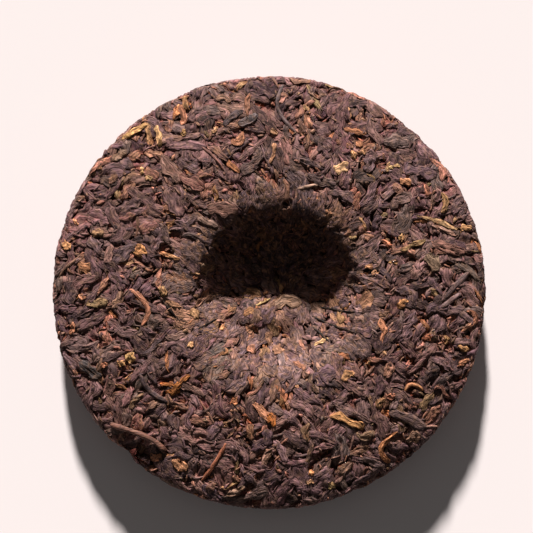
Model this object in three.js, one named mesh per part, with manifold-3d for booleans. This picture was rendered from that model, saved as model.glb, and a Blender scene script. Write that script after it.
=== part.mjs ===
// A round cake of ripe pu erh tea, lying with its dimpled side up.
// Steamed leaves were wrung into a cloth and pressed under a stone. The stone left the gently domed side,
// which is underneath here, and the knot of the cloth left the dimple in the upper side.
// The cake is one solid. Its skin is a mosaic of pressed leaves: each has a ridge along its middle, and
// neighbours meet in a crease. The leaves and stalks that stand out from the rest are fused on.
// Lengths are in millimetres. The origin is under the middle of the cake, on the surface that it rests on.
import * as THREE from "three";
import { ConvexHull } from "three/addons/math/ConvexHull.js";
import { mergeVertices } from "three/addons/utils/BufferGeometryUtils.js";
import Module from "manifold-3d";

// The cake's cross-section, from the edge of the flat foot round the rim to the middle of the dimple. At each
// point the outline runs at a heading, in degrees from straight outwards, and the lengths before and after it
// are how far the curve holds to that heading.
const RIM_RADIUS = 100;
const CROWN_RADIUS = 56;
const SECTION = [
  { name: "foot edge", radius: 46, height: 0, heading: 0, before: 0, after: 32 },
  { name: "rim", radius: RIM_RADIUS, height: 13, heading: 90, before: 8.5, after: 4.2 },
  { name: "shoulder", radius: 97.8, height: 18.6, heading: 162, before: 1.2, after: 9.5 },
  { name: "crown", radius: CROWN_RADIUS, height: 24.5, heading: 180, before: 8.6, after: 17 },
  { name: "dimple wall", radius: 36, height: 20.8, heading: 229.5, before: 1.2, after: 21.5 },
  { name: "dimple floor", radius: 0, height: 6.3, heading: 180, before: 19, after: 0 },
];

// The knot sat a little off the middle, so the upper side is drawn this far towards it at the dimple
const KNOT = new THREE.Vector2(4.8, 0.5);

// The mound in the dimple, where the gathered cloth pressed less, and the dips at its two ends, as seen from
// above: each fades out over its length and width
const SWELLS = [
  { name: "mound", x: -5.5, y: -11, length: 15.5, width: 9, height: 5.4 },
  { name: "right dip", x: 20, y: -5.5, length: 5, width: 6, height: -1.2 },
  { name: "left dip", x: -27, y: -4.5, length: 5.5, width: 6, height: -1.8 },
];

// The pressed leaves: each is a row of points along its middle
const POINT_SPACING = 5;
const POINTS_IN_LEAF = [4, 3, 3, 2, 2, 1];
const UPPER_POINTS = 1280;
const UPPER_GAP = 4.3;
const UNDER_POINTS = 440;
const UNDER_GAP = 6.6;
const TRIES = 60000;
const SHORTENING = 0.6;
const LEAF_BEND = 0.3;
const RADIAL_SPREAD = 0.7;

// How deep the leaves and their creases lie under the pressed surface
const RIDGE_DEPTH = [0, 0.7];
const CREASE_DEPTH = [1.5, 2.3];
const CORNER_DEPTH = 0.2;
const FOOT_HEIGHT = 1;
const FOOT_FLAT_RADIUS = 22;
const FOOT_FADE = 9;

// The hollow at the rim where leaves have broken away, as seen from above
const HOLLOW = { x: -61, y: -74, length: 9, width: 5, heading: -0.45, depth: 3.4 };

// Leaves and stalks that stand out, by points of their middle lines as seen from above
const STANDING_OUT = [
  {
    name: "lifted stalk", width: 3, thickness: 2.2, lift: 0.2,
    route: [[-73.5, -61.5], [-60, -66.3], [-47, -73.5]],
  },
  {
    name: "twig", width: 2.8, thickness: 2.2, lift: -0.3,
    route: [[-19.4, -67.8], [-25, -79], [-32.8, -89]],
  },
  {
    name: "bright curl", width: 2.8, thickness: 2.2, lift: -0.3,
    route: [[60.8, -63.5], [52.4, -70.6], [51.7, -75.3], [57.2, -79.8]],
  },
  {
    name: "hooked curl", width: 2.6, thickness: 2, lift: -0.3,
    route: [[62.2, -46.6], [66.4, -42.4], [72, -45.2]],
  },
  {
    name: "long stalk", width: 2.4, thickness: 2, lift: -0.4,
    route: [[7.4, 99], [1.6, 88], [4.6, 81], [14, 76.7]],
  },
  {
    name: "bowed stalk", width: 2.6, thickness: 2, lift: -0.4,
    route: [[-66, 2.6], [-60.3, 0], [-54.8, -7.5], [-59.6, -16.6]],
  },
  {
    name: "dark stick", width: 3.2, thickness: 2.4, lift: -0.3,
    route: [[80.8, -3.5], [94, 10.8]],
  },
  {
    name: "second stick", width: 3, thickness: 2.4, lift: -0.4,
    route: [[78.8, -7.6], [90, 0.2]],
  },
  {
    name: "broad leaf", width: 7, thickness: 2.6, lift: -0.4,
    route: [[60.5, 59], [70, 57.5], [80.5, 54.6]],
  },
  {
    name: "rolled leaf", width: 5.4, thickness: 2.8, lift: -0.3,
    route: [[54.4, -55.8], [63, -58.4], [74, -63]],
  },
  {
    name: "golden leaf", width: 5, thickness: 2.4, lift: -0.3,
    route: [[27.6, -57.2], [36, -58.6], [45.2, -62]],
  },
  {
    name: "golden flake", width: 6, thickness: 2.4, lift: -0.3,
    route: [[30, 56], [37, 59.6]],
  },
  {
    name: "bright flake", width: 5.5, thickness: 2.4, lift: -0.3,
    route: [[-60.5, 16.5], [-58.8, 22.4]],
  },
  {
    name: "tan leaf", width: 6, thickness: 2.4, lift: -0.3,
    route: [[74, 11], [80.6, 17]],
  },
];
const STANDING_SIDES = 5;
const STANDING_RINGS = 6;
const WELD_DISTANCE = 1e-4;
const HALVINGS = 30;

const SEED = 357;
const TEA_BROWN = new THREE.Color(0.12, 0.075, 0.062);

// Random numbers from 0 to 1, the same ones on each run
function randomNumbers(seed) {
  let state = seed;
  return () => {
    state = (state + 0x6d2b79f5) | 0;
    let mixed = Math.imul(state ^ (state >>> 15), 1 | state);
    mixed = (mixed + Math.imul(mixed ^ (mixed >>> 7), 61 | mixed)) ^ mixed;
    return ((mixed ^ (mixed >>> 14)) >>> 0) / 4294967296;
  };
}

const random = randomNumbers(SEED);
const between = ([low, high]) => low + (high - low) * random();

// Half of the cake's cross-section, from the middle of the foot round the rim to the middle of the dimple
function crossSection() {
  const handle = ({ radius, height, heading }, length) => {
    const turn = THREE.MathUtils.degToRad(heading);
    return [radius + length * Math.cos(turn), height + length * Math.sin(turn)];
  };
  const path = new THREE.Path();
  path.moveTo(0, 0);
  path.lineTo(SECTION[0].radius, SECTION[0].height);
  SECTION.slice(1).forEach((point, i) => {
    const last = SECTION[i];
    path.bezierCurveTo(
      ...handle(last, last.after),
      ...handle(point, -point.before),
      point.radius, point.height,
    );
  });
  return path;
}

const section = crossSection();
const sectionLength = section.getLength();

// How far the upper side is drawn towards the knot at a distance from the middle
const drawnIn = (radius) => KNOT.clone().multiplyScalar(Math.max(0, 1 - (radius / RIM_RADIUS) ** 2));

// The cake's surface is wrapped round a unit ball: the foot's middle at its south pole, the dimple's at its
// north pole, and the way between them in proportion to the cross-section's length. A place on the cake is
// a direction from the ball's centre, with a height above the pressed surface.
function onCake(direction, height) {
  const share = Math.acos(THREE.MathUtils.clamp(-direction.z, -1, 1)) / Math.PI;
  const turn = Math.atan2(direction.y, direction.x);
  const point = section.getPointAt(share);
  const tangent = section.getTangentAt(share);
  const radius = Math.max(0, point.x + tangent.y * height);
  const shift = drawnIn(share > 0.5 ? radius : RIM_RADIUS);
  return new THREE.Vector3(
    shift.x + radius * Math.cos(turn),
    shift.y + radius * Math.sin(turn),
    point.y - tangent.x * height,
  );
}

// The direction of a place given in the flat frame of a side: x and y as if that side were peeled off and
// laid out round its middle
function directionOf(side, x, y) {
  const polar = (Math.PI * Math.hypot(x, y)) / sectionLength;
  const turn = Math.atan2(y, x);
  const up = side === "upper" ? 1 : -1;
  return new THREE.Vector3(
    Math.sin(polar) * Math.cos(turn),
    Math.sin(polar) * Math.sin(turn),
    up * Math.cos(polar),
  );
}

// The upper side's flat place for a point seen from above, found by halving
function laidOut(x, y) {
  const shift = drawnIn(Math.hypot(x, y));
  const seen = new THREE.Vector2(x, y).sub(shift);
  const radius = seen.length();
  let near = 0;
  let far = sectionLength / 2;
  for (let i = 0; i < HALVINGS; i++) {
    const middle = (near + far) / 2;
    if (section.getPointAt(1 - middle / sectionLength).x < radius) near = middle;
    else far = middle;
  }
  return seen.multiplyScalar(near / Math.max(radius, 1e-6));
}

// The points along one leaf's middle. In the dimple the leaves were drawn in towards the knot, and
// elsewhere they lie any way.
function leafPoints(side, x, y, count) {
  const out = Math.hypot(x, y);
  const inDimple = side === "upper" && out < CROWN_RADIUS;
  const heading = inDimple
    ? Math.atan2(y, x) + RADIAL_SPREAD * (2 * random() - 1)
    : 2 * Math.PI * random();
  const bend = LEAF_BEND * (2 * random() - 1);
  return Array.from({ length: count }, (_, i) => {
    const along = (i - (count - 1) / 2) * POINT_SPACING;
    const aside = (bend * along * along) / POINT_SPACING;
    return directionOf(
      side,
      x + along * Math.cos(heading) - aside * Math.sin(heading),
      y + along * Math.sin(heading) + aside * Math.cos(heading),
    );
  });
}

// Fills one side with leaves, the longest first, each where it keeps its distance from the others
function fillSide(side, most, gap, reach, placed) {
  const start = placed.length;
  for (let i = 0; i < TRIES && placed.length - start < most; i++) {
    const count = POINTS_IN_LEAF[Math.floor((i / TRIES) ** SHORTENING * POINTS_IN_LEAF.length)];
    const out = reach * Math.sqrt(random());
    const turn = 2 * Math.PI * random();
    const directions = leafPoints(side, out * Math.cos(turn), out * Math.sin(turn), count);
    const places = directions.map((direction) => onCake(direction, 0));
    const clear = places.every((a) => placed.every((b) => a.distanceToSquared(b.place) > gap * gap));
    if (!clear) continue;
    const leaf = {};
    const depth = between(RIDGE_DEPTH);
    directions.forEach((direction, k) => placed.push({ direction, place: places[k], leaf, depth }));
  }
}

// How deep the hollow at the rim takes the surface at a point
function hollowDepth(place) {
  const middle = new THREE.Vector2(HOLLOW.x, HOLLOW.y);
  const seen = new THREE.Vector2(place.x, place.y).rotateAround(middle, -HOLLOW.heading).sub(middle);
  const away = (seen.x / HOLLOW.length) ** 2 + (seen.y / HOLLOW.width) ** 2;
  return HOLLOW.depth * Math.exp(-(away ** 2));
}

// How high the mound and the dips in the dimple lift the surface at a point
function swellHeight(place) {
  return SWELLS.reduce((sum, { x, y, length, width, height }) => {
    const away = ((place.x - x) / length) ** 2 + ((place.y - y) / width) ** 2;
    return sum + height * Math.exp(-away);
  }, 0);
}

// A point of the skin: its depth fades out on the middle of the foot, which the stone pressed flat
function skinPoint(direction, depth) {
  const place = onCake(direction, 0);
  const onFoot = place.z < FOOT_HEIGHT;
  const radius = Math.hypot(place.x, place.y);
  const fade = THREE.MathUtils.smoothstep(radius, FOOT_FLAT_RADIUS, FOOT_FLAT_RADIUS + FOOT_FADE);
  const pressed = direction.z > 0 ? swellHeight(place) - hollowDepth(place) : 0;
  return onCake(direction, pressed - (onFoot ? fade : 1) * depth);
}

// The skin as a closed mesh. The hull of the points on the ball joins each to its neighbours. The middle of
// each of its faces becomes a point of the creases, and each of its edges becomes two triangles: along the
// ridge where both ends are on one leaf, and along the crease where they are on two.
function skinGeometry(placed) {
  const number = new Map(placed.map((point, i) => [point.direction, i]));
  const faces = new ConvexHull().setFromPoints(placed.map((point) => point.direction)).faces;
  const vertices = placed.map((point) => skinPoint(point.direction, point.depth));
  const middle = new Map();
  for (const face of faces) {
    const corners = [0, 1, 2].map((k) => placed[number.get(face.getEdge(k).head().point)]);
    const direction = corners
      .reduce((sum, corner) => sum.add(corner.direction), new THREE.Vector3())
      .normalize();
    const leavesMet = new Set(corners.map((corner) => corner.leaf)).size;
    const depth = leavesMet === 1 ? corners[0].depth : between(CREASE_DEPTH) + CORNER_DEPTH * (leavesMet - 2);
    middle.set(face, vertices.length);
    vertices.push(skinPoint(direction, depth));
  }
  const index = [];
  for (const face of faces) {
    for (const edge of [0, 1, 2].map((k) => face.getEdge(k))) {
      const from = number.get(edge.tail().point);
      const to = number.get(edge.head().point);
      if (from > to) continue;
      const left = middle.get(face);
      const right = middle.get(edge.twin.face);
      if (placed[from].leaf === placed[to].leaf) index.push(from, right, to, from, to, left);
      else index.push(from, right, left, right, to, left);
    }
  }
  const geometry = new THREE.BufferGeometry().setFromPoints(vertices);
  geometry.setIndex(index);
  return geometry;
}

// A leaf or stalk that stands out: a sphere drawn out along its route into a flat spindle
function standingGeometry({ route, width, thickness, lift }) {
  const curve = new THREE.SplineCurve(route.map(([x, y]) => laidOut(x, y)));
  const sphere = new THREE.SphereGeometry(1, STANDING_SIDES, STANDING_RINGS);
  sphere.deleteAttribute("normal");
  sphere.deleteAttribute("uv");
  const geometry = mergeVertices(sphere, WELD_DISTANCE);
  const corner = geometry.getAttribute("position");
  for (let i = 0; i < corner.count; i++) {
    const share = (corner.getY(i) + 1) / 2;
    const middle = curve.getPoint(share);
    const ahead = curve.getTangent(share);
    const aside = (corner.getX(i) * width) / 2;
    const direction = directionOf("upper", middle.x - ahead.y * aside, middle.y + ahead.x * aside);
    const place = onCake(direction, lift + (corner.getZ(i) * thickness) / 2);
    corner.setXYZ(i, place.x, place.y, place.z);
  }
  return geometry;
}

// A closed geometry as a solid, turned right side out
function solidOf(wasm, geometry) {
  const position = geometry.getAttribute("position").array;
  const index = new Uint32Array(geometry.index.array);
  const solid = new wasm.Manifold(
    new wasm.Mesh({ numProp: 3, vertProperties: position, triVerts: index }),
  );
  if (solid.volume() > 0) return solid;
  for (let i = 0; i < index.length; i += 3) {
    [index[i + 1], index[i + 2]] = [index[i + 2], index[i + 1]];
  }
  return new wasm.Manifold(
    new wasm.Mesh({ numProp: 3, vertProperties: position, triVerts: index }),
  );
}

// A solid as a three.js geometry
function geometryOf(solid) {
  const mesh = solid.getMesh();
  const geometry = new THREE.BufferGeometry();
  geometry.setAttribute("position", new THREE.BufferAttribute(mesh.vertProperties, 3));
  geometry.setIndex(new THREE.BufferAttribute(mesh.triVerts, 1));
  geometry.computeVertexNormals();
  return geometry;
}

const wasm = await Module();
wasm.setup();

const placed = [];
fillSide("upper", UPPER_POINTS, UPPER_GAP, sectionLength / 2, placed);
fillSide("under", UNDER_POINTS, UNDER_GAP, sectionLength / 2 - UNDER_GAP, placed);
const skin = solidOf(wasm, skinGeometry(placed));
const standing = STANDING_OUT.map((leaf) => solidOf(wasm, standingGeometry(leaf)));

const cakeGeometry = geometryOf(wasm.Manifold.union([skin, ...standing]));
cakeGeometry.computeBoundingBox();
const middle = cakeGeometry.boundingBox.getCenter(new THREE.Vector3());
cakeGeometry.translate(-middle.x, -middle.y, 0);

const teaCake = new THREE.Mesh(
  cakeGeometry,
  new THREE.MeshStandardMaterial({ color: TEA_BROWN, roughness: 0.75, metalness: 0 }),
);
teaCake.name = "tea_cake";

const group = new THREE.Group();
group.add(teaCake);

export default group;
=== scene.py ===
"""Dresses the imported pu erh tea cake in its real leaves.

The cake lies with its dimpled side up. Its leaves are laid one at a time on a core, each resting on the
ones beneath it, and each is pressed in by the mould, as in the making of a real cake. The leaves that catch
the eye in the photograph lie where it shows them. Lengths are in millimetres until a mesh is made.
"""

import logging
import math
from dataclasses import dataclass, field
from enum import Enum

import bpy
import numpy as np
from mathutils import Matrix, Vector

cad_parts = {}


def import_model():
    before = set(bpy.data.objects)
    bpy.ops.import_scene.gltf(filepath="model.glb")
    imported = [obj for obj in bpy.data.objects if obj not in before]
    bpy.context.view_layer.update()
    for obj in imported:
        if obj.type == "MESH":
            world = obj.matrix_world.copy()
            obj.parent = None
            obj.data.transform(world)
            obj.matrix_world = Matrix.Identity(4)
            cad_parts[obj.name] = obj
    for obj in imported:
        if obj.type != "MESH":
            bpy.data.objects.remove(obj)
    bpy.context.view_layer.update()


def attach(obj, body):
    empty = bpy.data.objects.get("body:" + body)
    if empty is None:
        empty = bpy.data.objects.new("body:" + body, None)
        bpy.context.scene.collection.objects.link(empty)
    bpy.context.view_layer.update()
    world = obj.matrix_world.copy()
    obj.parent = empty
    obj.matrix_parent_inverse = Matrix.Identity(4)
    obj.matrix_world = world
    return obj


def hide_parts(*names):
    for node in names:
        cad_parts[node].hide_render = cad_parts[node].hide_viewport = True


LOG = logging.getLogger("tea_cake")
METRES = 0.001
NODE = "tea_cake"
BODY = "root"
SEED = 357
MOST_TRIANGLES = 185_000
CAMERA_DISTANCE = 750.0

# The photograph's side, and the cake's middle and radius in it, in pixels
PHOTO_SIDE = 533
PHOTO_MIDDLE = (269.0, 292.5)
PHOTO_RADIUS = 217.0

# The attribute and the map that every leaf's mesh carries for its material
COLOUR_ATTRIBUTE = "leaf_colour"
PATTERN_MAP = "along_leaf"

# The depth of the finest relief on leaves and core, in metres
RELIEF_DEPTH = 0.0006

Colour = tuple[float, float, float]
Pixel = tuple[float, float]
Place = tuple[float, float]
Span = tuple[float, float]


class Side(Enum):
    """A side of the cake: the dimpled one that shows, or the domed one that it lies on."""

    UPPER = "upper"
    UNDER = "under"


def smoothed(values: np.ndarray, passes: int) -> np.ndarray:
    """Averages values with their neighbours along the first axis.

    Args:
        values: The values, one row for each station along a leaf.
        passes: How many times to average.

    Returns:
        The smoothed values, in the same shape.
    """
    for _ in range(passes):
        padded = np.concatenate([values[:1], values, values[-1:]])
        values = 0.25 * padded[:-2] + 0.5 * padded[1:-1] + 0.25 * padded[2:]
    return values


def ease(values: np.ndarray, low: float, high: float) -> np.ndarray:
    """Rises smoothly from 0 at low to 1 at high.

    Args:
        values: Where to evaluate it.
        low: The value below which the result is 0.
        high: The value above which the result is 1.

    Returns:
        The eased values.
    """
    share = np.clip((values - low) / (high - low), 0.0, 1.0)
    return share * share * (3.0 - 2.0 * share)


class SmoothNoise:
    """Random heights from -1 to 1 that change smoothly over a plane."""

    LATTICE = 64

    def __init__(self, rng: np.random.Generator, length: float) -> None:
        """Draws the lattice.

        Args:
            rng: The source of the random heights.
            length: The distance between neighbouring heights, in millimetres.
        """
        self.heights = rng.uniform(-1.0, 1.0, (self.LATTICE, self.LATTICE))
        self.length = length

    def __call__(self, flat: np.ndarray) -> np.ndarray:
        """Gives the heights at places on the plane.

        Args:
            flat: The places, with x and y in the last axis.

        Returns:
            A height for each place.
        """
        scaled = flat / self.length
        cell = np.floor(scaled).astype(int)
        share = scaled - cell
        share = share * share * (3.0 - 2.0 * share)
        x, y = cell[..., 0] % self.LATTICE, cell[..., 1] % self.LATTICE
        x_next, y_next = (x + 1) % self.LATTICE, (y + 1) % self.LATTICE
        near = self.heights[x, y] * (1 - share[..., 0]) + self.heights[x_next, y] * share[..., 0]
        far = self.heights[x, y_next] * (1 - share[..., 0]) + self.heights[x_next, y_next] * share[..., 0]
        return near * (1 - share[..., 1]) + far * share[..., 1]


@dataclass(frozen=True)
class SectionPoint:
    """A point of the cross-section: where it is, its heading, and how far the curve holds to that.

    The heading is in degrees from straight outwards. The lengths before and after the point are in
    millimetres.
    """

    radius: float
    height: float
    heading: float
    before: float
    after: float

    def handle(self, length: float) -> Place:
        """Gives the curve's handle at a length ahead of the point, or behind it if negative."""
        turn = math.radians(self.heading)
        return self.radius + length * math.cos(turn), self.height + length * math.sin(turn)


@dataclass(frozen=True)
class Swell:
    """A mound in the dimple, or a dip if its height is negative, in millimetres seen from above."""

    middle: Place
    size: Place
    height: float


@dataclass
class CakeForm:
    """The pressed form of the whole cake: its cross-section, its dimple and the hollow at its rim.

    The knot is where the cloth was drawn to, and the swells lie in the dimple. The tints are painted shade:
    how much of their colour the leaves keep in the dimple's deep, shadowed part and in the hollow at the rim.
    """

    CURVE_STEPS = 400
    TRACE_STEPS = 2000
    TANGENT_PASSES = 8
    RIM = 1
    CROWN = 3

    rim_radius: float = 100.0
    section: tuple[SectionPoint, ...] = (
        SectionPoint(radius=46.0, height=0.0, heading=0.0, before=0.0, after=32.0),
        SectionPoint(radius=100.0, height=13.0, heading=90.0, before=8.5, after=4.2),
        SectionPoint(radius=97.8, height=18.6, heading=162.0, before=1.2, after=9.5),
        SectionPoint(radius=56.0, height=24.5, heading=180.0, before=8.6, after=17.0),
        SectionPoint(radius=36.0, height=20.8, heading=229.5, before=1.2, after=21.5),
        SectionPoint(radius=0.0, height=6.3, heading=180.0, before=19.0, after=0.0),
    )
    knot: Place = (4.8, 0.5)
    swells: tuple[Swell, ...] = (
        Swell(middle=(-5.5, -11.0), size=(15.5, 9.0), height=5.4),
        Swell(middle=(20.0, -5.5), size=(5.0, 6.0), height=-1.2),
        Swell(middle=(-27.0, -4.5), size=(5.5, 6.0), height=-1.8),
        Swell(middle=(-5.0, -20.0), size=(8.0, 5.0), height=1.1),
    )
    hollow_middle: Place = (-61.0, -74.0)
    hollow_size: Place = (9.0, 5.0)
    hollow_heading: float = -0.45
    hollow_depth: float = 3.4
    # The tints below are painted shade: in the hollow at the rim and in the dimple's deep, shadowed part.
    hollow_painted_shade: float = 0.4
    painted_shade_middle: Place = (3.7, 19.5)
    painted_shade_size: Place = (31.0, 19.0)
    painted_shade_tint: float = 0.42
    points: np.ndarray = field(init=False)
    tangents: np.ndarray = field(init=False)
    lengths: np.ndarray = field(init=False)
    rim_length: float = field(init=False)

    def __post_init__(self) -> None:
        """Traces the cross-section finely from the middle of the foot to the middle of the dimple."""
        share = np.linspace(0.0, 1.0, self.CURVE_STEPS, endpoint=False)[:, None]
        traced = [share * np.array((self.section[0].radius, self.section[0].height))]
        for last, point in zip(self.section, self.section[1:]):
            start, leaving = np.array(last.handle(0.0)), np.array(last.handle(last.after))
            arriving, end = np.array(point.handle(-point.before)), np.array(point.handle(0.0))
            traced.append(
                (1 - share) ** 3 * start + 3 * (1 - share) ** 2 * share * leaving
                + 3 * (1 - share) * share**2 * arriving + share**3 * end
            )
        line = np.concatenate([*traced, [self.section[-1].handle(0.0)]])
        length = np.concatenate([[0.0], np.cumsum(np.linalg.norm(np.diff(line, axis=0), axis=1))])
        self.lengths = np.linspace(0.0, length[-1], self.TRACE_STEPS)
        self.rim_length = float(length[(self.RIM + 1) * self.CURVE_STEPS])
        self.points = np.column_stack([np.interp(self.lengths, length, line[:, k]) for k in (0, 1)])
        steps = smoothed(np.gradient(self.points, axis=0), self.TANGENT_PASSES)
        self.tangents = steps / np.linalg.norm(steps, axis=1, keepdims=True)

    def reach(self, side: Side) -> float:
        """Gives the distance along the surface from the middle of a side to the rim."""
        return self.lengths[-1] - self.rim_length if side is Side.UPPER else self.rim_length

    def along(self, side: Side, out: np.ndarray) -> np.ndarray:
        """Turns a distance out from the middle of a side into one along the cross-section."""
        return self.lengths[-1] - out if side is Side.UPPER else out

    def drawn_in(self, radius: np.ndarray) -> np.ndarray:
        """Gives how far the upper side is drawn towards the knot, at distances from the middle."""
        return np.clip(1 - (radius / self.rim_radius) ** 2, 0, 1)[..., None] * np.array(self.knot)

    def place(self, side: Side, flat: np.ndarray, height: np.ndarray) -> np.ndarray:
        """Places points of a side in space.

        Args:
            side: The side that the points are on.
            flat: The points as if the side were peeled off and laid out flat, x and y last.
            height: Each point's height above the pressed surface.

        Returns:
            The places, x, y and z last.
        """
        out = np.linalg.norm(flat, axis=-1)
        along = self.along(side, out)
        r, z = (np.interp(along, self.lengths, self.points[:, k]) for k in (0, 1))
        tr, tz = (np.interp(along, self.lengths, self.tangents[:, k]) for k in (0, 1))
        radius = np.maximum(r + tz * height, 0.0)
        seen = flat / np.maximum(out, 1e-6)[..., None] * radius[..., None]
        if side is Side.UPPER:
            seen = seen + self.drawn_in(radius)
        return np.concatenate([seen, (z - tr * height)[..., None]], axis=-1)

    def laid_out(self, seen: np.ndarray) -> np.ndarray:
        """Turns points of the upper side, as seen from above, into places on it laid out flat."""
        own = seen - self.drawn_in(np.linalg.norm(seen, axis=-1))
        radius = np.linalg.norm(own, axis=-1)
        upper = self.lengths > self.rim_length
        out = np.interp(radius, self.points[upper][::-1, 0], (self.lengths[-1] - self.lengths[upper])[::-1])
        return own * (out / np.maximum(radius, 1e-6))[..., None]

    def hollow(self, seen: np.ndarray) -> np.ndarray:
        """Gives how deep the hollow at the rim goes at points seen from above."""
        turned = seen - np.array(self.hollow_middle)
        cos, sin = math.cos(self.hollow_heading), math.sin(self.hollow_heading)
        along = turned[..., 0] * cos + turned[..., 1] * sin
        aside = turned[..., 1] * cos - turned[..., 0] * sin
        away = (along / self.hollow_size[0]) ** 2 + (aside / self.hollow_size[1]) ** 2
        return self.hollow_depth * np.exp(-(away**2))

    def swelling(self, seen: np.ndarray) -> np.ndarray:
        """Gives how high the mound and dips in the dimple lift points seen from above."""
        lift = np.zeros(seen.shape[:-1])
        for swell in self.swells:
            away = (seen - np.array(swell.middle)) / np.array(swell.size)
            lift += swell.height * np.exp(-(away**2).sum(axis=-1))
        return lift

    def painted_shade(self, seen: np.ndarray) -> np.ndarray:
        """Gives the colour factor of points seen from above: painted shade, lower in the dimple's deep part
        and in the hollow.
        """
        away = (seen - np.array(self.painted_shade_middle)) / np.array(self.painted_shade_size)
        knot = 1 - (1 - self.painted_shade_tint) * np.exp(-((away**2).sum(axis=-1) ** 2))
        return knot * (1 - (1 - self.hollow_painted_shade) * self.hollow(seen) / self.hollow_depth)


def from_photo(pixel: Pixel) -> Place:
    """Turns a pixel of the photograph into millimetres from the cake's middle, seen from above."""
    scale = CakeForm.rim_radius / PHOTO_RADIUS
    return (pixel[0] - PHOTO_MIDDLE[0]) * scale, (PHOTO_MIDDLE[1] - pixel[1]) * scale


def on_upper_side(pixels: tuple[Pixel, ...]) -> np.ndarray:
    """Turns pixels into places on the upper side, which is nearer to the camera than the rim.

    Args:
        pixels: Pixels of the photograph.

    Returns:
        The places as seen from above, in millimetres.
    """
    rise = CakeForm.section[CakeForm.CROWN].height - CakeForm.section[CakeForm.RIM].height
    return np.array([from_photo(pixel) for pixel in pixels]) * (1 - rise / CAMERA_DISTANCE)


class PressedSide:
    """The heights of one side while its leaves are laid: what is on top at each place, and the mould.

    Distances out from the middle of the upper side say where the cloth smeared the leaves and where its
    folds lie. The heights are those of the mould's unevenness, folds and bare core.
    """

    CELL = 0.25
    MARGIN = 10.0
    SWELL_LENGTH = 17.0
    LUMP_LENGTH = 6.0
    CORE_DEPTH = 2.6
    SMEARED_CORE_RISE = 1.0
    LUMP_HEIGHT = 0.4
    SMEAR_OUT = (36, 60)
    STONE_LEVEL = -0.25
    STONE_SWELL = 0.15
    CLOTH_LEVEL = -0.2
    CLOTH_SWELL = 0.35
    FOLD_HEIGHT = 0.5
    FOLDS_TO_A_RADIAN = 3.4
    FOLD_START = 20
    FOLD_LENGTH = 26.0
    FOLDS_IN = (6, 18)
    FOLDS_OUT = (40, 62)

    def __init__(self, side: Side, form: CakeForm, rng: np.random.Generator) -> None:
        """Starts with the bare core.

        Args:
            side: Which side it is.
            form: The cake's pressed form.
            rng: The source of the random unevenness.
        """
        self.side = side
        self.form = form
        self.half = form.reach(side) + self.MARGIN
        self.swell = SmoothNoise(rng, self.SWELL_LENGTH)
        self.lumps = SmoothNoise(rng, self.LUMP_LENGTH)
        self.folds = SmoothNoise(rng, 1.0)
        middles = np.arange(-self.half, self.half, self.CELL) + self.CELL / 2
        x, y = np.meshgrid(middles, middles, indexing="ij")
        cells = np.stack([x, y], axis=-1)
        self.limit = self.mould(cells)
        depth = self.CORE_DEPTH - self.SMEARED_CORE_RISE * self.smear(np.linalg.norm(cells, axis=-1))
        self.top = self.limit - depth + self.LUMP_HEIGHT * self.lumps(cells)

    def smear(self, out: np.ndarray) -> np.ndarray:
        """Gives how much the wrung cloth smeared the leaves at a distance out: fully in the dimple."""
        if self.side is Side.UNDER:
            return 0.0 * out
        return 1.0 - ease(out, *self.SMEAR_OUT)

    def mould(self, flat: np.ndarray) -> np.ndarray:
        """Gives the mould's height over places laid out flat: stone below, creased cloth above."""
        if self.side is Side.UNDER:
            return self.STONE_LEVEL + self.STONE_SWELL * self.swell(flat)
        out = np.linalg.norm(flat, axis=-1)
        turn = np.arctan2(flat[..., 1], flat[..., 0])
        drawn = np.stack([turn * self.FOLDS_TO_A_RADIAN + self.FOLD_START, out / self.FOLD_LENGTH], axis=-1)
        folds = self.folds(drawn) * ease(out, *self.FOLDS_IN) * (1 - ease(out, *self.FOLDS_OUT))
        seen = self.form.place(self.side, flat, np.zeros_like(out))[..., :2]
        shaped = self.form.swelling(seen) - self.form.hollow(seen)
        return self.CLOTH_LEVEL + self.CLOTH_SWELL * self.swell(flat) + self.FOLD_HEIGHT * folds + shaped

    def cell(self, flat: np.ndarray) -> tuple[np.ndarray, np.ndarray]:
        """Gives the row and column of the cell that holds each place."""
        index = ((flat + self.half) / self.CELL).astype(int)
        index = np.clip(index, 0, self.top.shape[0] - 1)
        return index[..., 0], index[..., 1]

    def lay_on(self, flat: np.ndarray, height: np.ndarray) -> None:
        """Raises the top to a leaf's surface.

        Args:
            flat: A grid of places over the leaf, finer than the cells.
            height: The leaf's height at each.
        """
        np.maximum.at(self.top, self.cell(flat), height)


@dataclass(frozen=True)
class LeafKind:
    """How one kind of leaf, bud or stalk varies.

    Length, width and thickness are ranges in millimetres. Stations and lanes are its points along and
    across. Bend and sway turn its middle line, in radians. Crown, grooves, groove_depth, wrinkle and twist
    shape its upper face. Ragged and blunt shape its outline, and drape is how closely it follows what lies
    beneath it. The palette's colours each have a share.
    """

    name: str
    slot: str
    length: Span
    width: Span
    thickness: Span
    stations: int
    lanes: int
    bend: float
    sway: float
    crown: float
    grooves: Span
    groove_depth: float
    wrinkle: float
    twist: float
    ragged: float
    blunt: float
    drape: float
    palette: tuple[tuple[float, Colour], ...]

    SPINDLE_POWER = 1.6
    BLUNT_POWER = 3.5
    FULLNESS = 0.7
    POINT_WIDTH = 0.12
    BLUNT_POINT_WIDTH = 0.5
    END_WIDTH = 0.35
    BLUNT_END_WIDTH = 0.4

    def outline(self) -> np.ndarray:
        """Gives the half width at each station as a share of the full one: a spindle, or blunter."""
        share = np.linspace(-1, 1, self.stations)
        power = self.SPINDLE_POWER + self.BLUNT_POWER * self.blunt
        outline = (1 - np.abs(share) ** power) ** self.FULLNESS
        outline = np.maximum(outline, self.POINT_WIDTH + self.BLUNT_POINT_WIDTH * self.blunt)
        outline[[0, -1]] *= self.END_WIDTH + self.BLUNT_END_WIDTH * self.blunt
        return outline


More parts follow.
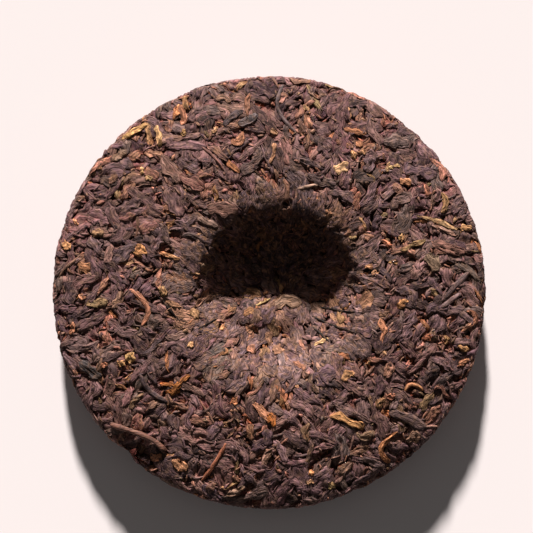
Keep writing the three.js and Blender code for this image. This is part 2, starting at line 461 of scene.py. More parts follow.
@dataclass
class Course:
    """The middle line of one leaf on the laid-out side, and its widths."""

    middle: np.ndarray
    aside: np.ndarray
    half_width: np.ndarray
    thickness: float

    @property
    def travelled(self) -> np.ndarray:
        """The distance along the middle line to each of its points."""
        steps = np.diff(self.middle, axis=0, prepend=self.middle[:1])
        return np.cumsum(np.linalg.norm(steps, axis=1))


@dataclass
class LaidLeaf:
    """A leaf as it came to rest: the places, heights, colours and pattern of its points."""

    kind: LeafKind
    flat: np.ndarray
    height: np.ndarray
    colours: np.ndarray
    pattern: np.ndarray


# The dark leaves' own colours, lifted in green and blue: partly painted grey-purple sheen that the leaves'
# low gloss leaves out.
DARK_WITH_PAINTED_SHEEN = (
    (5.0, (0.158, 0.082, 0.080)),
    (4.0, (0.126, 0.070, 0.072)),
    (3.0, (0.194, 0.105, 0.103)),
    (2.0, (0.136, 0.086, 0.078)),
    (2.0, (0.074, 0.041, 0.041)),
    (2.0, (0.231, 0.117, 0.103)),
)
BROWN = (
    (4.0, (0.260, 0.117, 0.086)),
    (3.0, (0.234, 0.127, 0.091)),
    (2.0, (0.333, 0.147, 0.103)),
    (1.0, (0.218, 0.132, 0.071)),
)
GOLD = (
    (4.0, (0.400, 0.172, 0.080)),
    (3.0, (0.360, 0.185, 0.090)),
    (2.0, (0.480, 0.260, 0.134)),
    (1.0, (0.360, 0.130, 0.070)),
)
SMEARED = (
    (6.0, (0.146, 0.083, 0.079)),
    (5.0, (0.178, 0.106, 0.101)),
    (3.0, (0.121, 0.073, 0.074)),
    (2.5, (0.218, 0.120, 0.090)),
    (1.2, (0.300, 0.158, 0.092)),
)
STALK = (
    (3.0, (0.166, 0.085, 0.075)),
    (2.0, (0.250, 0.125, 0.090)),
    (1.0, (0.084, 0.049, 0.046)),
)

ROLLED_LEAF = LeafKind(
    name="rolled_leaves", slot="dark_leaf", length=(8, 21), width=(2.8, 5.4), thickness=(0.9, 1.4),
    stations=11, lanes=9, bend=0.6, sway=0.3, crown=0.32, grooves=(1.2, 2.4), groove_depth=0.2,
    wrinkle=0.1, twist=0.9, ragged=0.22, blunt=0.4, drape=0.45, palette=DARK_WITH_PAINTED_SHEEN,
)
FOLDED_LEAF = LeafKind(
    name="folded_leaves", slot="dark_leaf", length=(10, 22), width=(5.0, 10.0), thickness=(0.8, 1.2),
    stations=13, lanes=13, bend=0.5, sway=0.25, crown=0.2, grooves=(1.8, 3.4), groove_depth=0.2,
    wrinkle=0.09, twist=0.35, ragged=0.3, blunt=0.5, drape=0.65, palette=DARK_WITH_PAINTED_SHEEN,
)
SMEARED_LEAF = LeafKind(
    name="smeared_leaves", slot="brown_leaf", length=(9, 22), width=(4.4, 9.0), thickness=(0.5, 0.8),
    stations=11, lanes=10, bend=0.35, sway=0.2, crown=0.15, grooves=(2.4, 4.6), groove_depth=0.15,
    wrinkle=0.06, twist=0.35, ragged=0.35, blunt=0.5, drape=0.8, palette=SMEARED,
)
BROWN_LEAF = LeafKind(
    name="brown_leaves", slot="brown_leaf", length=(6, 16), width=(2.2, 4.8), thickness=(0.9, 1.3),
    stations=11, lanes=8, bend=0.7, sway=0.3, crown=0.4, grooves=(1.2, 2.8), groove_depth=0.28,
    wrinkle=0.12, twist=0.8, ragged=0.28, blunt=0.4, drape=0.5, palette=BROWN,
)
GOLDEN_BUD = LeafKind(
    name="golden_buds", slot="golden_leaf", length=(4, 14), width=(1.6, 3.4), thickness=(0.8, 1.1),
    stations=12, lanes=8, bend=0.8, sway=0.35, crown=0.4, grooves=(1.4, 2.8), groove_depth=0.3,
    wrinkle=0.14, twist=0.6, ragged=0.32, blunt=0.25, drape=0.5, palette=GOLD,
)
TEA_STALK = LeafKind(
    name="tea_stalks", slot="stalk", length=(9, 24), width=(0.9, 1.6), thickness=(0.9, 1.2),
    stations=12, lanes=5, bend=0.6, sway=0.2, crown=0.7, grooves=(0.4, 1.0), groove_depth=0.12,
    wrinkle=0.05, twist=0.3, ragged=0.1, blunt=0.7, drape=0.15, palette=STALK,
)
# Near-black strips laid along cracks and cloth creases: painted shadow in the cracks, not pieces of tea.
PAINTED_CRACK_SHADOW = LeafKind(
    name="painted_crack_shadows", slot="stalk", length=(9, 20), width=(0.7, 1.1), thickness=(0.5, 0.7),
    stations=14, lanes=3, bend=0.3, sway=0.1, crown=0.3, grooves=(0.2, 0.4), groove_depth=0.05,
    wrinkle=0.08, twist=0.1, ragged=0.35, blunt=0.1, drape=0.6, palette=STALK,
)
CRUMB = LeafKind(
    name="tea_crumbs", slot="brown_leaf", length=(2.2, 5.4), width=(0.8, 1.7), thickness=(0.5, 0.8),
    stations=5, lanes=4, bend=0.5, sway=0.1, crown=0.4, grooves=(0.8, 1.6), groove_depth=0.25,
    wrinkle=0.1, twist=0.0, ragged=0.35, blunt=0.2, drape=0.5, palette=DARK_WITH_PAINTED_SHEEN + BROWN,
)


@dataclass(frozen=True)
class ShownLeaf:
    """A leaf that the photograph shows, by the pixels that its middle line runs through."""

    name: str
    kind: LeafKind
    pixels: tuple[Pixel, ...]
    width: float
    colour: Colour

    STANDS_OUT = 0.3

    @property
    def proud(self) -> float:
        """How far it stands above the mould's surface."""
        return 0.0 if self.kind is PAINTED_CRACK_SHADOW else self.STANDS_OUT


ORANGE = (0.500, 0.218, 0.124)
BRIGHT_ORANGE = (0.610, 0.256, 0.112)
RUST = (0.410, 0.142, 0.042)
AMBER = (0.570, 0.300, 0.138)
YELLOW = (0.740, 0.445, 0.215)
TAN = (0.225, 0.126, 0.088)
RUSSET = (0.490, 0.208, 0.106)
BLACKISH = (0.168, 0.107, 0.105)
# The colour of the painted shadow strips in the cracks
CRACK_SHADOW_BLACK = (0.010, 0.006, 0.005)
DARK_GREY = (0.155, 0.088, 0.088)
PALE_GREY = (0.128, 0.081, 0.086)
PALE_TAN = (0.300, 0.180, 0.130)
INKY = (0.083, 0.057, 0.057)
PURPLE = (0.240, 0.132, 0.150)
RED_TWIG = (0.310, 0.115, 0.062)
OLIVE_TAN = (0.390, 0.218, 0.112)
RED_BROWN = (0.214, 0.096, 0.078)
DULL_ORANGE = (0.285, 0.138, 0.084)

SHOWN_LEAVES = (
    ShownLeaf("left gold", GOLDEN_BUD, ((147, 121), (148, 133), (150, 146)), 3.0, AMBER),
    ShownLeaf("left gold two", GOLDEN_BUD, ((155, 122), (158, 134), (160, 147)), 2.9, YELLOW),
    ShownLeaf("gold sweep", GOLDEN_BUD, ((118, 141), (127, 132), (139, 126), (150, 121)), 2.6, AMBER),
    ShownLeaf("rim tan leaf", BROWN_LEAF, ((110, 160), (117, 154), (127, 148)), 3.6, PALE_TAN),
    ShownLeaf("orange fold", GOLDEN_BUD, ((179, 101), (176, 110), (172, 120)), 2.8, BRIGHT_ORANGE),
    ShownLeaf("orange fold two", GOLDEN_BUD, ((180, 101), (182, 111), (184, 119), (179, 125)), 3.0, ORANGE),
    ShownLeaf("dark curl", ROLLED_LEAF, ((222, 126), (232, 115), (245, 108)), 3.2, INKY),
    ShownLeaf("dark curl two", ROLLED_LEAF, ((236, 123), (248, 121), (259, 112)), 4.2, INKY),
    ShownLeaf("orange hook", GOLDEN_BUD, ((231, 136), (235, 143), (241, 140), (243, 128)), 3.2, ORANGE),
    ShownLeaf("top curl", GOLDEN_BUD, ((252, 90), (246, 97), (246, 108), (248, 117)), 2.8, DULL_ORANGE),
    ShownLeaf("top olive", BROWN_LEAF, ((214, 98), (223, 95), (232, 101)), 3.4, TAN),
    ShownLeaf("top strip", GOLDEN_BUD, ((275, 140), (274, 152), (269, 165)), 2.4, OLIVE_TAN),
    ShownLeaf("top red bit", GOLDEN_BUD, ((270, 128), (278, 134)), 3.0, DULL_ORANGE),
    ShownLeaf("top gold bit", GOLDEN_BUD, ((184, 127), (183, 136)), 2.0, AMBER),
    ShownLeaf("top gold bit two", GOLDEN_BUD, ((217, 124), (213, 133)), 2.6, OLIVE_TAN),
    ShownLeaf("thin stalk", TEA_STALK, ((199, 144), (211, 153), (221, 165), (226, 173)), 1.4, RED_BROWN),
    ShownLeaf("red folds", FOLDED_LEAF, ((177, 175), (192, 180), (206, 190)), 5.0, RED_BROWN),
    ShownLeaf("red point", BROWN_LEAF, ((117, 219), (127, 218), (136, 213)), 3.4, RED_BROWN),
    ShownLeaf("bright flake", GOLDEN_BUD, ((135, 256), (140, 250), (144, 244)), 5.0, BRIGHT_ORANGE),
    ShownLeaf("long stalk", TEA_STALK, ((285, 78), (275, 102), (280, 114), (300, 136)), 2.2, BLACKISH),
    ShownLeaf("small gold", GOLDEN_BUD, ((141, 165), (142, 174)), 1.8, YELLOW),
    ShownLeaf("small gold two", GOLDEN_BUD, ((144, 177), (153, 177)), 2.2, YELLOW),
    ShownLeaf("yellow flake", GOLDEN_BUD, ((334, 172), (342, 166), (350, 162)), 5.4, YELLOW),
    ShownLeaf("orange bit", GOLDEN_BUD, ((346, 142), (354, 147)), 3.0, DULL_ORANGE),
    ShownLeaf("orange bit two", GOLDEN_BUD, ((356, 140), (363, 147)), 3.4, RUSSET),
    ShownLeaf("orange bit three", GOLDEN_BUD, ((351, 149), (356, 159)), 3.0, AMBER),
    ShownLeaf("orange bit four", GOLDEN_BUD, ((358, 152), (367, 151)), 2.8, AMBER),
    ShownLeaf("purple leaf", FOLDED_LEAF, ((372, 155), (370, 164), (366, 173)), 5.0, PURPLE),
    ShownLeaf("pale stick", TEA_STALK, ((295, 189), (308, 186), (321, 184)), 1.8, PALE_TAN),
    ShownLeaf("gold tip", GOLDEN_BUD, ((386, 172), (390, 160)), 2.2, OLIVE_TAN),
    ShownLeaf("gold tip two", GOLDEN_BUD, ((387, 167), (402, 165)), 2.0, YELLOW),
    ShownLeaf("big dark leaf", FOLDED_LEAF, ((402, 170), (421, 167), (441, 174)), 6.6, DARK_GREY),
    ShownLeaf("dark leaf", FOLDED_LEAF, ((382, 142), (398, 138), (412, 141)), 5.6, DARK_GREY),
    ShownLeaf("orange bow", GOLDEN_BUD, ((441, 190), (447, 198), (445, 209), (440, 213)), 2.8, AMBER),
    ShownLeaf("orange speck", GOLDEN_BUD, ((426, 182), (427, 189), (429, 196)), 3.4, ORANGE),
    ShownLeaf("long gold", GOLDEN_BUD, ((413, 214), (430, 218), (446, 224), (463, 230)), 2.4, OLIVE_TAN),
    ShownLeaf("slant gold", GOLDEN_BUD, ((398, 251), (413, 244), (428, 238)), 2.8, OLIVE_TAN),
    ShownLeaf("left bow", GOLDEN_BUD, ((158, 252), (170, 256), (182, 259)), 2.6, AMBER),
    ShownLeaf("bowed stalk", TEA_STALK, (
        (126, 287), (138, 293), (150, 309), (147, 320), (139, 329),
    ), 2.5, RUSSET),
    ShownLeaf("low left speck", GOLDEN_BUD, ((99, 366), (108, 364)), 2.6, ORANGE),
    ShownLeaf("orange splotch", GOLDEN_BUD, ((158, 384), (167, 384), (177, 387)), 2.8, RUST),
    ShownLeaf("splotch foot", GOLDEN_BUD, ((163, 392), (171, 390), (181, 393)), 2.8, RUST),
    ShownLeaf("splotch middle", GOLDEN_BUD, ((170, 397), (176, 389), (179, 380)), 2.6, RUST),
    ShownLeaf("splotch tip", GOLDEN_BUD, ((176, 391), (182, 381), (192, 374)), 2.6, RUST),
    ShownLeaf("left speck", GOLDEN_BUD, ((71, 320), (71, 328), (67, 336)), 2.4, ORANGE),
    ShownLeaf("gold hair", GOLDEN_BUD, ((254, 306), (263, 303), (272, 298)), 1.4, YELLOW),
    ShownLeaf("right flake", GOLDEN_BUD, ((396, 308), (402, 304), (408, 299)), 4.6, BRIGHT_ORANGE),
    ShownLeaf("tan leaf", FOLDED_LEAF, ((425, 253), (433, 261), (442, 269)), 6.0, PALE_TAN),
    ShownLeaf("dark stick", TEA_STALK, ((444, 300), (458, 284), (473, 269)), 3.0, BLACKISH),
    ShownLeaf("dark stick two", TEA_STALK, ((440, 309), (452, 300), (464, 292)), 2.8, BLACKISH),
    ShownLeaf("orange curl", GOLDEN_BUD, ((466, 310), (476, 313), (479, 321), (472, 328)), 2.4, ORANGE),
    ShownLeaf("gold strip", GOLDEN_BUD, ((458, 346), (465, 349), (472, 351)), 2.2, AMBER),
    ShownLeaf("orange strip", GOLDEN_BUD, ((458, 368), (465, 363), (472, 359)), 2.4, ORANGE),
    ShownLeaf("bright strip", GOLDEN_BUD, ((313, 346), (321, 342), (329, 337)), 2.8, YELLOW),
    ShownLeaf("upright orange", BROWN_LEAF, ((379, 316), (384, 330), (381, 346)), 3.8, ORANGE),
    ShownLeaf("grey flake", FOLDED_LEAF, ((318, 376), (327, 372), (337, 373)), 7.4, PALE_GREY),
    ShownLeaf("hooked curl", TEA_STALK, (
        (404, 394), (408, 386), (415, 384), (422, 388), (425, 393),
    ), 2.2, RUSSET),
    ShownLeaf("twig", TEA_STALK, (
        (227, 440), (222, 452), (214, 465), (206, 476), (198, 486),
    ), 2.2, RED_TWIG),
    ShownLeaf("orange leaf", GOLDEN_BUD, ((251, 402), (259, 409), (268, 416), (276, 424)), 3.8, ORANGE),
    ShownLeaf("orange leaf base", GOLDEN_BUD, ((266, 414), (273, 420), (274, 428)), 4.6, RUST),
    ShownLeaf("upright leaf", BROWN_LEAF, ((247, 424), (251, 432), (252, 442)), 4.0, DULL_ORANGE),
    ShownLeaf("low left leaf", BROWN_LEAF, ((146, 462), (154, 459), (162, 455)), 3.4, RUSSET),
    ShownLeaf("low left leaf two", GOLDEN_BUD, ((170, 460), (179, 466), (188, 472)), 3.2, ORANGE),
    ShownLeaf("left tan", BROWN_LEAF, ((147, 409), (154, 405), (160, 402)), 3.0, TAN),
    ShownLeaf("golden leaf", GOLDEN_BUD, ((327, 416), (340, 418), (354, 423), (368, 428)), 5.0, AMBER),
    ShownLeaf("big curl", GOLDEN_BUD, (
        (401, 430), (388, 439), (381, 447), (382, 457), (394, 466),
    ), 2.9, BRIGHT_ORANGE),
    ShownLeaf("rolled leaf", ROLLED_LEAF, ((386, 412), (400, 416), (415, 422), (431, 430)), 5.0, BLACKISH),
    ShownLeaf("lower speck", GOLDEN_BUD, ((308, 474), (315, 474)), 2.4, BRIGHT_ORANGE),
    ShownLeaf("green tan", GOLDEN_BUD, ((309, 421), (305, 431), (308, 444)), 3.6, OLIVE_TAN),
    ShownLeaf("top tan", GOLDEN_BUD, ((307, 90), (318, 96), (326, 92)), 2.2, TAN),
    ShownLeaf("rim flake", GOLDEN_BUD, ((60, 246), (70, 244)), 4.4, AMBER),
    ShownLeaf("rim leaf", BROWN_LEAF, ((76, 262), (83, 267), (91, 270)), 4.6, RUSSET),
    ShownLeaf("left golden leaf", BROWN_LEAF, ((83, 304), (96, 304), (109, 300)), 3.8, OLIVE_TAN),
    ShownLeaf("left golden bit", GOLDEN_BUD, ((76, 295), (86, 298)), 2.4, ORANGE),
    ShownLeaf("red brown leaf", BROWN_LEAF, ((140, 234), (147, 226), (159, 223)), 6.0, RED_BROWN),
    ShownLeaf("wall gold", GOLDEN_BUD, ((160, 285), (163, 291), (165, 297)), 3.2, YELLOW),
    ShownLeaf("wall gold two", GOLDEN_BUD, ((165, 300), (174, 304), (183, 307)), 2.8, OLIVE_TAN),
    ShownLeaf("wall tan", GOLDEN_BUD, ((192, 307), (195, 313), (199, 319)), 4.2, OLIVE_TAN),
    ShownLeaf("slant red", BROWN_LEAF, ((108, 184), (112, 178), (117, 173)), 3.0, RED_BROWN),
    ShownLeaf("olive bit", BROWN_LEAF, ((90, 235), (97, 232), (104, 234)), 4.0, OLIVE_TAN),
    ShownLeaf("rim specks", GOLDEN_BUD, ((71, 217), (77, 225)), 1.8, ORANGE),
    ShownLeaf("right gold", GOLDEN_BUD, ((461, 229), (467, 227), (475, 227)), 3.2, AMBER),
    ShownLeaf("tan patch", BROWN_LEAF, ((399, 177), (405, 182), (413, 184)), 3.8, ORANGE),
    ShownLeaf("small bits", GOLDEN_BUD, ((398, 236), (405, 238)), 2.8, AMBER),
    ShownLeaf("mound gold", GOLDEN_BUD, ((240, 319), (246, 313), (254, 310)), 4.0, AMBER),
    ShownLeaf("mound leaf", SMEARED_LEAF, ((273, 306), (288, 300), (305, 304)), 6.0, PALE_TAN),
    ShownLeaf("bowl tan", SMEARED_LEAF, ((337, 309), (340, 316), (342, 324)), 4.0, OLIVE_TAN),
    ShownLeaf("bowl spot", GOLDEN_BUD, ((189, 341), (194, 347)), 2.6, YELLOW),
    ShownLeaf("bowl orange", GOLDEN_BUD, ((248, 346), (255, 354)), 4.0, DULL_ORANGE),
    ShownLeaf("bowl orange two", GOLDEN_BUD, ((273, 348), (283, 354)), 4.6, DULL_ORANGE),
    ShownLeaf("bowl streak", GOLDEN_BUD, ((300, 340), (302, 346), (306, 351)), 1.8, DULL_ORANGE),
    ShownLeaf("bowl orange three", GOLDEN_BUD, ((292, 361), (299, 365), (306, 370)), 3.6, DULL_ORANGE),
    ShownLeaf("hole edge gold", GOLDEN_BUD, ((364, 266), (373, 268)), 2.8, AMBER),
    ShownLeaf("hole edge speck", GOLDEN_BUD, ((348, 237), (357, 237)), 1.6, YELLOW),
    ShownLeaf("hole edge red", GOLDEN_BUD, ((325, 209), (332, 215)), 2.0, ORANGE),
    ShownLeaf("upper wall leaf", FOLDED_LEAF, ((205, 210), (222, 206), (241, 209)), 7.0, RED_BROWN),
    ShownLeaf("pale wall leaf", ROLLED_LEAF, ((196, 217), (207, 223), (220, 226)), 4.4, PALE_TAN),
    ShownLeaf("gold patch", GOLDEN_BUD, ((341, 381), (346, 375), (355, 371)), 4.4, AMBER),
    ShownLeaf("low gold bit", GOLDEN_BUD, ((306, 484), (315, 483)), 2.4, OLIVE_TAN),
    ShownLeaf("tan curve", GOLDEN_BUD, ((386, 398), (378, 402), (381, 410)), 3.4, OLIVE_TAN),
    ShownLeaf("curl root", GOLDEN_BUD, ((386, 396), (397, 396)), 3.0, ORANGE),
    ShownLeaf("low olive leaf", BROWN_LEAF, ((406, 443), (414, 438), (424, 437)), 4.4, TAN),
    ShownLeaf("low left olive", GOLDEN_BUD, ((117, 366), (125, 361)), 3.0, AMBER),
    ShownLeaf("low left tan", BROWN_LEAF, ((126, 353), (133, 363)), 4.4, AMBER),
    ShownLeaf("dark bow", TEA_STALK, ((139, 370), (143, 384), (153, 395), (171, 404)), 2.6, INKY),
    ShownLeaf("rim dark leaf", FOLDED_LEAF, ((76, 361), (88, 370), (101, 380)), 4.2, INKY),
    ShownLeaf("foot red bit", BROWN_LEAF, ((205, 487), (215, 491)), 4.0, RED_BROWN),
    ShownLeaf("foot red bit two", GOLDEN_BUD, ((231, 478), (241, 482)), 2.6, DULL_ORANGE),
    ShownLeaf("foot curve", BROWN_LEAF, ((224, 497), (236, 494), (246, 486)), 3.0, TAN),
    ShownLeaf("long gold two", GOLDEN_BUD, ((430, 224), (446, 230), (462, 235)), 2.2, PALE_TAN),
    ShownLeaf("right red leaf", FOLDED_LEAF, ((430, 243), (449, 247), (469, 252)), 5.6, RED_BROWN),
    # The strips below are painted shadow along the cracks and creases of the dimple and its wall.
    ShownLeaf("crack", PAINTED_CRACK_SHADOW, ((156, 293), (170, 309), (185, 327)), 1.3, CRACK_SHADOW_BLACK),
    ShownLeaf("bowl crack", PAINTED_CRACK_SHADOW, ((308, 314), (328, 324), (350, 331), (362, 334)), 1.2, CRACK_SHADOW_BLACK),
    ShownLeaf("bowl crack two", PAINTED_CRACK_SHADOW, ((310, 325), (321, 334), (332, 344)), 1.2, CRACK_SHADOW_BLACK),
    ShownLeaf("bowl crack three", PAINTED_CRACK_SHADOW, (
        (314, 307), (332, 309), (350, 312), (368, 313),
    ), 1.3, CRACK_SHADOW_BLACK),
    ShownLeaf("bowl crack four", PAINTED_CRACK_SHADOW, ((196, 330), (206, 324), (218, 318)), 1.2, CRACK_SHADOW_BLACK),
)


@dataclass
class Heap:
    """The leaves of one kind, gathered to become one piece or a few."""

    kind: LeafKind
    places: list[np.ndarray] = field(default_factory=list)
    colours: list[np.ndarray] = field(default_factory=list)
    patterns: list[np.ndarray] = field(default_factory=list)

    @property
    def triangles_each(self) -> int:
        """The triangles in one leaf of this kind."""
        around = self.kind.lanes + 1
        return (self.kind.stations - 1) * around * 2 + 2 * (around - 2)

    def faces_of_one(self) -> np.ndarray:
        """Gives one leaf's triangles by the numbers of its points, ring after ring."""
        around = self.kind.lanes + 1
        triangles = []
        for ring in range(self.kind.stations - 1):
            for k in range(around):
                a, b = ring * around + k, ring * around + (k + 1) % around
                c, d = b + around, a + around
                triangles += [(a, b, c), (a, c, d)]
        last = (self.kind.stations - 1) * around
        for k in range(1, around - 1):
            triangles += [(0, k + 1, k), (last, last + k, last + k + 1)]
        return np.array(triangles)

    def build(self, finish: "LeafFinish") -> list[bpy.types.Object]:
        """Makes the pieces, each under the most triangles that a piece may have.

        Args:
            finish: The material's settings.

        Returns:
            The pieces.
        """
        most = MOST_TRIANGLES // self.triangles_each
        parts = math.ceil(len(self.places) / most)
        material = finish.material()
        pieces = []
        for part in range(parts):
            chosen = slice(part, None, parts)
            name = self.kind.name if parts == 1 else f"{self.kind.name}_{part + 1}"
            pieces.append(self.piece(name, chosen, material))
        return pieces

    def piece(self, name: str, chosen: slice, material: bpy.types.Material) -> bpy.types.Object:
        """Joins the chosen leaves in one mesh.

        Args:
            name: The piece's name.
            chosen: Which of the leaves it takes.
            material: Its material.

        Returns:
            The piece.
        """
        places = np.array(self.places[chosen])
        count, each = places.shape[:2]
        template = self.faces_of_one()
        corners = (template[None] + (np.arange(count) * each)[:, None, None]).ravel()
        mesh = bpy.data.meshes.new(name)
        mesh.vertices.add(count * each)
        mesh.vertices.foreach_set("co", (places * METRES).ravel())
        mesh.loops.add(len(corners))
        mesh.loops.foreach_set("vertex_index", corners)
        mesh.polygons.add(len(corners) // 3)
        mesh.polygons.foreach_set("loop_start", np.arange(0, len(corners), 3))
        mesh.update(calc_edges=True)
        mesh.polygons.foreach_set("use_smooth", np.ones(len(corners) // 3, bool))
        colours = np.array(self.colours[chosen]).reshape(-1, 3)
        opaque = np.concatenate([colours, np.ones((len(colours), 1))], axis=1)
        attribute = mesh.attributes.new(COLOUR_ATTRIBUTE, "FLOAT_COLOR", "POINT")
        attribute.data.foreach_set("color", opaque.ravel())
        pattern = np.array(self.patterns[chosen]).reshape(-1, 2)
        layer = mesh.uv_layers.new(name=PATTERN_MAP)
        layer.data.foreach_set("uv", pattern[corners].ravel())
        mesh.materials.append(material)
        piece = bpy.data.objects.new(name, mesh)
        bpy.context.scene.collection.objects.link(piece)
        return piece


class LeafLayer:
    """Lays leaves on a side, one on another, and gathers those that still show at the end."""

    # Where a scattered leaf goes: the lowest of a few places, turned to the knot if near enough to it
    TRIES = 8
    PROBES = 7
    CHOICE_SPREAD = 0.5
    DRAWN_REACH = 52
    DRAWN_SPREAD = 0.75
    LAST_PHASE = 6
    LINE_POINTS = 60

    # How much shorter and flatter the wrung cloth left the leaves in the dimple. Widths and thicknesses
    # shrink with the length, except for the shares kept.
    SMEARED_SHORTER = 0.35
    SMEARED_FLATTER = 0.75
    KEPT_WIDTH = 0.35
    KEPT_THICKNESS = 0.3

    # A leaf's uneven edges and thinner tips
    RAGGED_SPREAD = 1.6
    RAGGED_SPAN = (0.45, 1.6)
    TIP_THINNER = 0.5
    TIP_DROP = 0.5

    # How a leaf bears on what is beneath it and sinks in, and how little of it the mould lets stand out
    MEAN_BEARING = 0.6
    PEAK_BEARING = 0.4
    BEARING_PASSES = 3
    SINK = 0.3
    KEPT_ABOVE_MOULD = 0.09
    DEPTH_BENEATH = 0.8
    FILLED_IN = (5, 3)

    # The upper face: how flat its middle is, its grooves and creases, and where its edge begins
    CROWN_FLATNESS = 0.94
    GROOVE_SPREAD = 1.6
    LAST_GROOVE_PHASE = 6.3
    GROOVE_SHARE = 0.5
    CREASE_SHARE = 0.65
    CREASE_LEVEL = 0.6
    CREASE_LENGTH = 2.8
    CREASE_WIDTH = 0.9
    EDGE_FROM = 0.99

    # Which leaves show: those with enough of their points no deeper than this under the top
    SEEN_DEPTH = 0.25
    SEEN_SHARE = 0.09

    # The colours' spreads, and the painted shade on what lies deep between leaves or at a leaf's edge
    TONE_SPREAD = 0.14
    HUE_SPREAD = 0.04
    STRIPE_SPREAD = 0.18
    CLOUD_SPREAD = 0.26
    CLOUD_RANGE = 1.5
    EDGE_PAINTED_SHADE = 0.3
    DEEP_PAINTED_SHADE = np.array([1.0, 0.52, 0.4])
    DEEP_SHADE_SPAN = (-2.2, -0.3)
    PATTERN_REACH = 500

    def __init__(self, pressed: PressedSide, heaps: dict[str, Heap], rng: np.random.Generator) -> None:
        """Takes a side to cover.

        Args:
            pressed: The side's heights.
            heaps: The heap of each kind, by name.
            rng: The source of random draws.
        """
        self.pressed = pressed
        self.heaps = heaps
        self.rng = rng
        self.creases = SmoothNoise(rng, 1.0)
        self.laid: list[LaidLeaf] = []

    def between(self, span: Span) -> float:
        """Draws a number from a range."""
        return float(self.rng.uniform(*span))

    def wild_course(self, kind: LeafKind, reach: float) -> Course:
        """Chooses a low place for a leaf and draws its course there.

        Args:
            kind: The leaf's kind.
            reach: How far out from the side's middle it may lie.

        Returns:
            Its course.
        """
        rng, pressed = self.rng, self.pressed
        out = reach * np.sqrt(rng.uniform(0, 1, self.TRIES))
        turn = rng.uniform(-math.pi, math.pi, self.TRIES)
        starts = np.column_stack([out * np.cos(turn), out * np.sin(turn)])
        headings = rng.uniform(-math.pi, math.pi, self.TRIES)
        if pressed.side is Side.UPPER:
            drawn = rng.uniform(-self.DRAWN_SPREAD, self.DRAWN_SPREAD, self.TRIES) + turn
            headings = np.where(out < self.DRAWN_REACH, drawn, headings)
        length = self.between(kind.length)
        steps = np.linspace(-0.5, 0.5, self.PROBES)[None, :, None] * length
        ways = np.column_stack([np.cos(headings), np.sin(headings)])[:, None, :]
        probed = pressed.cell(starts[:, None, :] + steps * ways)
        lows = (pressed.top[probed] - pressed.limit[probed]).mean(axis=1)
        best = int(np.argmin(lows + rng.uniform(0, self.CHOICE_SPREAD, self.TRIES)))
        fine = 1.0 - self.SMEARED_SHORTER * float(pressed.smear(out[best]))
        share = np.linspace(0, 1, kind.stations)
        bend = rng.normal(0, kind.bend) * (share - 0.5)
        sway = rng.normal(0, kind.sway) * np.sin(2 * math.pi * share + rng.uniform(0, self.LAST_PHASE))
        heading = headings[best] + bend + sway
        step = length * fine / (kind.stations - 1)
        way = np.column_stack([np.cos(heading), np.sin(heading)])
        middle = np.cumsum(way * step, axis=0)
        middle += starts[best] - middle[kind.stations // 2]
        width = self.between(kind.width) * (self.KEPT_WIDTH + (1 - self.KEPT_WIDTH) * fine)
        shrunk = self.KEPT_THICKNESS + (1 - self.KEPT_THICKNESS) * fine
        return self.course(kind, middle, way, width, self.between(kind.thickness) * shrunk)

    def shown_course(self, leaf: ShownLeaf) -> Course:
        """Draws the course of a leaf that the photograph shows, as a smooth line through its pixels."""
        knots = self.pressed.form.laid_out(on_upper_side(leaf.pixels))
        spacing = np.concatenate([[0.0], np.cumsum(np.linalg.norm(np.diff(knots, axis=0), axis=1))])
        fine = np.linspace(0, spacing[-1], self.LINE_POINTS)
        line = np.column_stack([np.interp(fine, spacing, knots[:, k]) for k in (0, 1)])
        line = smoothed(line, self.LINE_POINTS)
        picks = np.linspace(0, len(line) - 1, leaf.kind.stations).round().astype(int)
        way = np.gradient(line, axis=0)[picks]
        way /= np.linalg.norm(way, axis=1, keepdims=True)
        thickness = sum(leaf.kind.thickness) / 2
        return self.course(leaf.kind, line[picks], way, leaf.width, thickness)

    def course(
        self, kind: LeafKind, middle: np.ndarray, way: np.ndarray, width: float, thickness: float
    ) -> Course:
        """Gives a middle line its uneven edges.

        Args:
            kind: The leaf's kind.
            middle: The points of the middle line.
            way: The direction at each.
            width: The leaf's width.
            thickness: The leaf's thickness.

        Returns:
            The course, with the distances from the middle line to both edges.
        """
        uneven = 1 + kind.ragged * smoothed(self.rng.normal(0, self.RAGGED_SPREAD, (kind.stations, 2)), 1)
        half_width = width / 2 * kind.outline()[:, None] * np.clip(uneven, *self.RAGGED_SPAN)
        aside = np.column_stack([-way[:, 1], way[:, 0]])
        return Course(middle, aside, half_width, thickness)

    def lay(self, kind: LeafKind, course: Course, colour: Colour, proud: float = 0.0) -> None:
        """Rests a leaf on what is beneath it, presses it in and keeps its points.

        Args:
            kind: The leaf's kind.
            course: Its middle line and widths.
            colour: Its main colour.
            proud: How far it stands above the mould's surface.
        """
        rng, pressed = self.rng, self.pressed
        across = np.sin(np.linspace(-0.5, 0.5, kind.lanes) * math.pi)
        share = np.linspace(0, 1, kind.stations)[:, None]
        widths = np.where(across < 0, course.half_width[:, :1], course.half_width[:, 1:])
        flat = course.middle[:, None, :] + course.aside[:, None, :] * (across * widths)[..., None]
        tip = (2 * share - 1) ** 4
        thick = course.thickness * (1 - self.TIP_THINNER * tip)
        out = np.linalg.norm(course.middle, axis=-1, keepdims=True)
        soft = 1 - self.SMEARED_FLATTER * pressed.smear(out)
        ripple = self.ripple(kind, course, across, widths)
        shape = (1 - kind.crown) + kind.crown * np.sqrt(np.clip(1 - self.CROWN_FLATNESS * across**2, 0, 1))
        inner = np.abs(across) <= self.EDGE_FROM
        relief = thick * (shape + soft * kind.groove_depth * ripple * inner)
        knobs = soft * kind.wrinkle * rng.normal(0, 1, flat.shape[:2])
        height = self.rest(kind, flat) - self.SINK * thick + relief + knobs - self.TIP_DROP * thick * tip
        height = self.pressed_in(flat, height, proud)
        pressed.lay_on(*self.refined(flat, height))
        self.keep(kind, course, colour, across, flat, height, thick)

